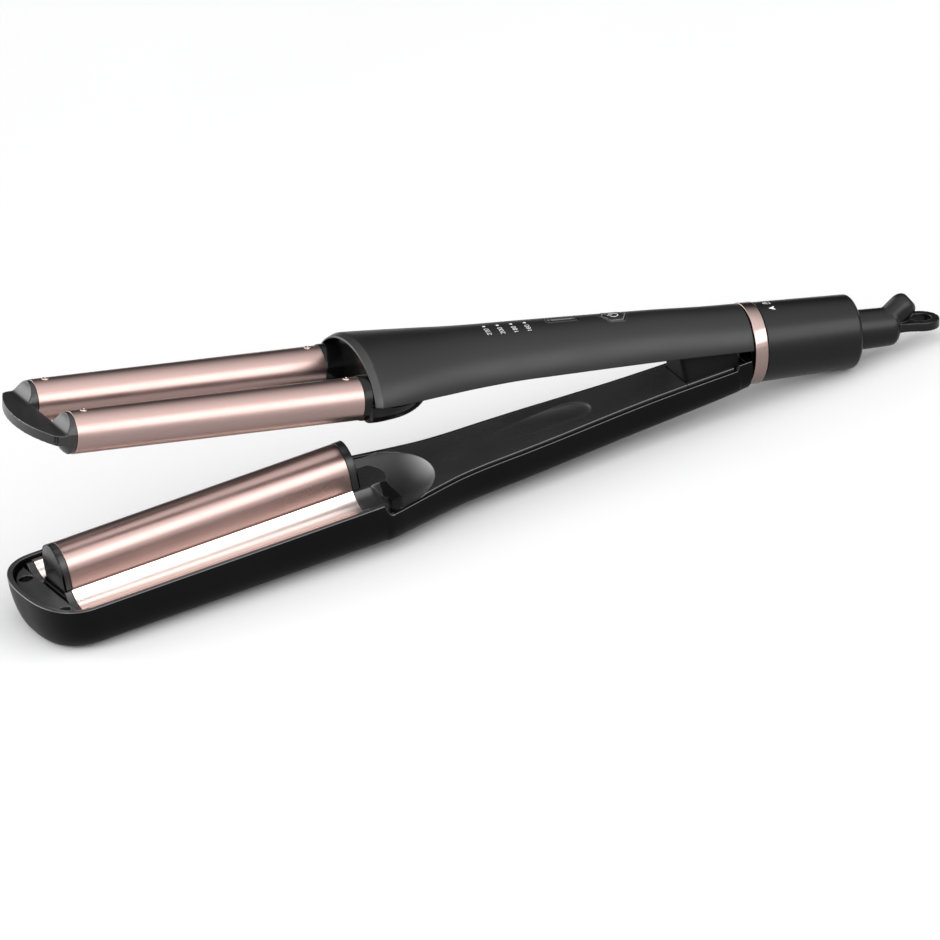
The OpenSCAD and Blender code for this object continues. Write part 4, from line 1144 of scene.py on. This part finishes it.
def saddle_top(x, y):
    ay = abs(y)
    deep = -10.5
    if ay > 28.1 or (x > -153.8 and ay > 24.8):
        return deep
    if ay < 9.3:
        x0 = -159.2 + math.sqrt(16.5**2 - ay * ay)
        if x <= x0:
            return -1.6
        t = (x - x0) / (-141.1 - x0)
        side = max(0.0, ay - 7.5)
        z = -1.6 - 6.7 * t**1.1 if t < 1 else -8.3 - 1.8 * (t - 1) * (-141.1 - x0)
        return max(deep, z - (1.8 - math.sqrt(max(0.0, 1.8**2 - side * side))) * min(1.0, 3 * t))
    d = ay - TY
    g = TUB_Z - math.sqrt(max(0.0, 9.9**2 - d * d)) if abs(d) < 9.9 else 0.0
    z = min(-1.6, g)
    if ay > 25.6:
        z = min(z, -2.9)
    z = min(z, belly_low(x, ay) - 0.4)
    end = -147.0 - 6.6 * max(0.0, ay - 9.3) / 15.0
    if x > end:
        t = (x - end) / 2.0
        z = deep if t >= 1 else z - 1.5 * (1 - math.sqrt(1 - t * t))
    return z


gx, gy = lin(-158.7, -139.9, 80), lin(-28.3, 28.3, 171)
nx, ny = len(gx), len(gy)
v = [(a, b, saddle_top(a, b)) for a in gx for b in gy] + [(a, b, -10.7) for a in gx for b in gy]
f = []
for i in range(nx - 1):
    for j in range(ny - 1):
        a = i * ny + j
        f.append((a, a + ny, a + ny + 1, a + 1))
        f.append((a + nx * ny, a + 1 + nx * ny, a + ny + 1 + nx * ny, a + ny + nx * ny))
for i in range(nx - 1):
    for j in (0, ny - 1):
        a, b = i * ny + j, (i + 1) * ny + j
        f.append((a, b, b + nx * ny, a + nx * ny))
for j in range(ny - 1):
    for i in (0, nx - 1):
        a, b = i * ny + j, i * ny + j + 1
        f.append((a, b, b + nx * ny, a + nx * ny))
base = plain("saddle_base", (v, f), "C")
saddle = soften("trough_saddle", base.data, 0.30, 8, M["deck_black"], "lower_arm", ["rear_saddle"])
# painted shade: the walls beside the tongue and the deep bottom get the near-black
saddle.data.materials.append(M["painted_shade_black"])
for q in saddle.data.polygons:
    c, nn = inv_c @ q.center, (inv_c.to_3x3() @ q.normal).normalized()
    if c.x > -147.6 and abs(c.y) > 8.9 and (abs(nn.y) > 0.72 or c.z < -8.5):
        q.material_index = 1
d = base.data
bpy.data.objects.remove(base)
bpy.data.meshes.remove(d)

# ---------------------------------------------------------------- floor, stage, light, camera
def floor_material():
    m, nt, bsdf, coord = base_nodes("pale_floor")
    cloud = noise(nt, coord, 3, 2)
    col = tint(nt, cloud, (0.435, 0.435, 0.437), (0.45, 0.45, 0.452))
    nt.links.new(col.outputs["Color"], bsdf.inputs["Base Color"])
    bsdf.inputs["Roughness"].default_value = 0.7
    bsdf.inputs["Specular IOR Level"].default_value = 0.1
    return m


me = bpy.data.meshes.new("floor")
me.from_pydata([(-9, -9, 0), (9, -9, 0), (9, 9, 0), (-9, 9, 0)], [], [(0, 1, 2, 3)])
floor = bpy.data.objects.new("floor", me)
me.materials.append(floor_material())
bpy.context.scene.collection.objects.link(floor)

# studio surround: bright over the front, falling off to dim behind
world = bpy.data.worlds.new("studio")
bpy.context.scene.world = world
world.use_nodes = True
wt = world.node_tree
bg = wt.nodes["Background"]
wc = wt.nodes.new("ShaderNodeTexCoord")
dot = wt.nodes.new("ShaderNodeVectorMath")
dot.operation = "DOT_PRODUCT"
dot.inputs[1].default_value = tuple(Vector((0.08, -0.62, 0.78)).normalized())
wr = wt.nodes.new("ShaderNodeMapRange")
wr.inputs["From Min"].default_value = -1.0
wr.inputs["From Max"].default_value = 1.0
ramp = wt.nodes.new("ShaderNodeValToRGB")
wt.links.new(wc.outputs["Generated"], dot.inputs[0])
wt.links.new(dot.outputs["Value"], wr.inputs["Value"])
wt.links.new(wr.outputs["Result"], ramp.inputs["Fac"])
dot2 = wt.nodes.new("ShaderNodeVectorMath")
dot2.operation = "DOT_PRODUCT"
dot2.inputs[1].default_value = tuple(Vector((-0.55, 0.78, 0.30)).normalized())
glow = wt.nodes.new("ShaderNodeMapRange")
glow.inputs["From Min"].default_value = 0.825
glow.inputs["From Max"].default_value = 1.0
glow.inputs["To Min"].default_value = 0.0
glow.inputs["To Max"].default_value = 1.0
square = wt.nodes.new("ShaderNodeMath")
square.operation = "POWER"
square.inputs[1].default_value = 1.2
gain = wt.nodes.new("ShaderNodeMath")
gain.operation = "MULTIPLY"
gain.inputs[1].default_value = 5.2 / 3.3
both = wt.nodes.new("ShaderNodeMath")
both.operation = "ADD"
wt.links.new(wc.outputs["Generated"], dot2.inputs[0])
wt.links.new(dot2.outputs["Value"], glow.inputs["Value"])
wt.links.new(glow.outputs["Result"], square.inputs[0])
wt.links.new(square.outputs["Value"], gain.inputs[0])
wt.links.new(gain.outputs["Value"], both.inputs[0])
wt.links.new(ramp.outputs["Color"], both.inputs[1])
wt.links.new(both.outputs["Value"], bg.inputs["Color"])
cr = ramp.color_ramp
for c, val in ((-0.6, 0.09), (-0.25, 0.035), (-0.1, 0.06), (0.05, 0.18), (0.2, 0.48), (0.5, 1.12), (0.75, 1.7), (0.92, 2.1)):
    e = cr.elements.new((c + 1) / 2)
    e.color = (val / 2.5, val / 2.5, val / 2.5, 1)
cr.elements[0].color = (0.04, 0.04, 0.04, 1)
cr.elements[len(cr.elements) - 1].color = (0.92, 0.92, 0.92, 1)
bg.inputs["Strength"].default_value = 3.3


def softbox(name, loc, target, sx, sy, power, colour=(1, 1, 1)):
    d = bpy.data.lights.new(name, "AREA")
    d.shape = "RECTANGLE"
    d.size = sx
    d.size_y = sy
    d.energy = power
    d.color = colour
    o = bpy.data.objects.new(name, d)
    o.location = loc
    o.rotation_euler = (Vector(target) - Vector(loc)).to_track_quat("-Z", "Y").to_euler()
    bpy.context.scene.collection.objects.link(o)
    return o


aim = (-0.02, 0, 0.04)
softbox("key", (0.50, -1.12, 0.62), aim, 2.4, 0.72, 18)
softbox("left_softbox", (-1.35, -0.10, 0.80), aim, 0.7, 0.7, 13)

cam_data = bpy.data.cameras.new("camera")
cam_data.type = "ORTHO"
cam_data.ortho_scale = 0.940 / 2.75
r_u, up_u, w_u = Vector((0.9239, -0.3821, 0.0181)), Vector((0.1098, 0.3102, 0.9440)), Vector((-0.3665, -0.8703, 0.3285))
centre_u = r_u * -98.33 + up_u * -45.89
rot = M_U.to_3x3() * 1000
c_w = M_U @ centre_u
rw, uw, ww = (rot @ r_u).normalized(), (rot @ up_u).normalized(), (rot @ w_u).normalized()
ww = rw.cross(uw).normalized()
uw = ww.cross(rw).normalized()
mat = Matrix((rw, uw, ww)).transposed().to_4x4()
mat.translation = c_w + ww * 2.2
cam = bpy.data.objects.new("camera", cam_data)
cam.matrix_world = mat
cam_data.clip_end = 60
bpy.context.scene.collection.objects.link(cam)
bpy.context.scene.camera = cam
bpy.context.scene.view_settings.view_transform = "Standard"
bpy.context.scene.view_settings.look = "None"
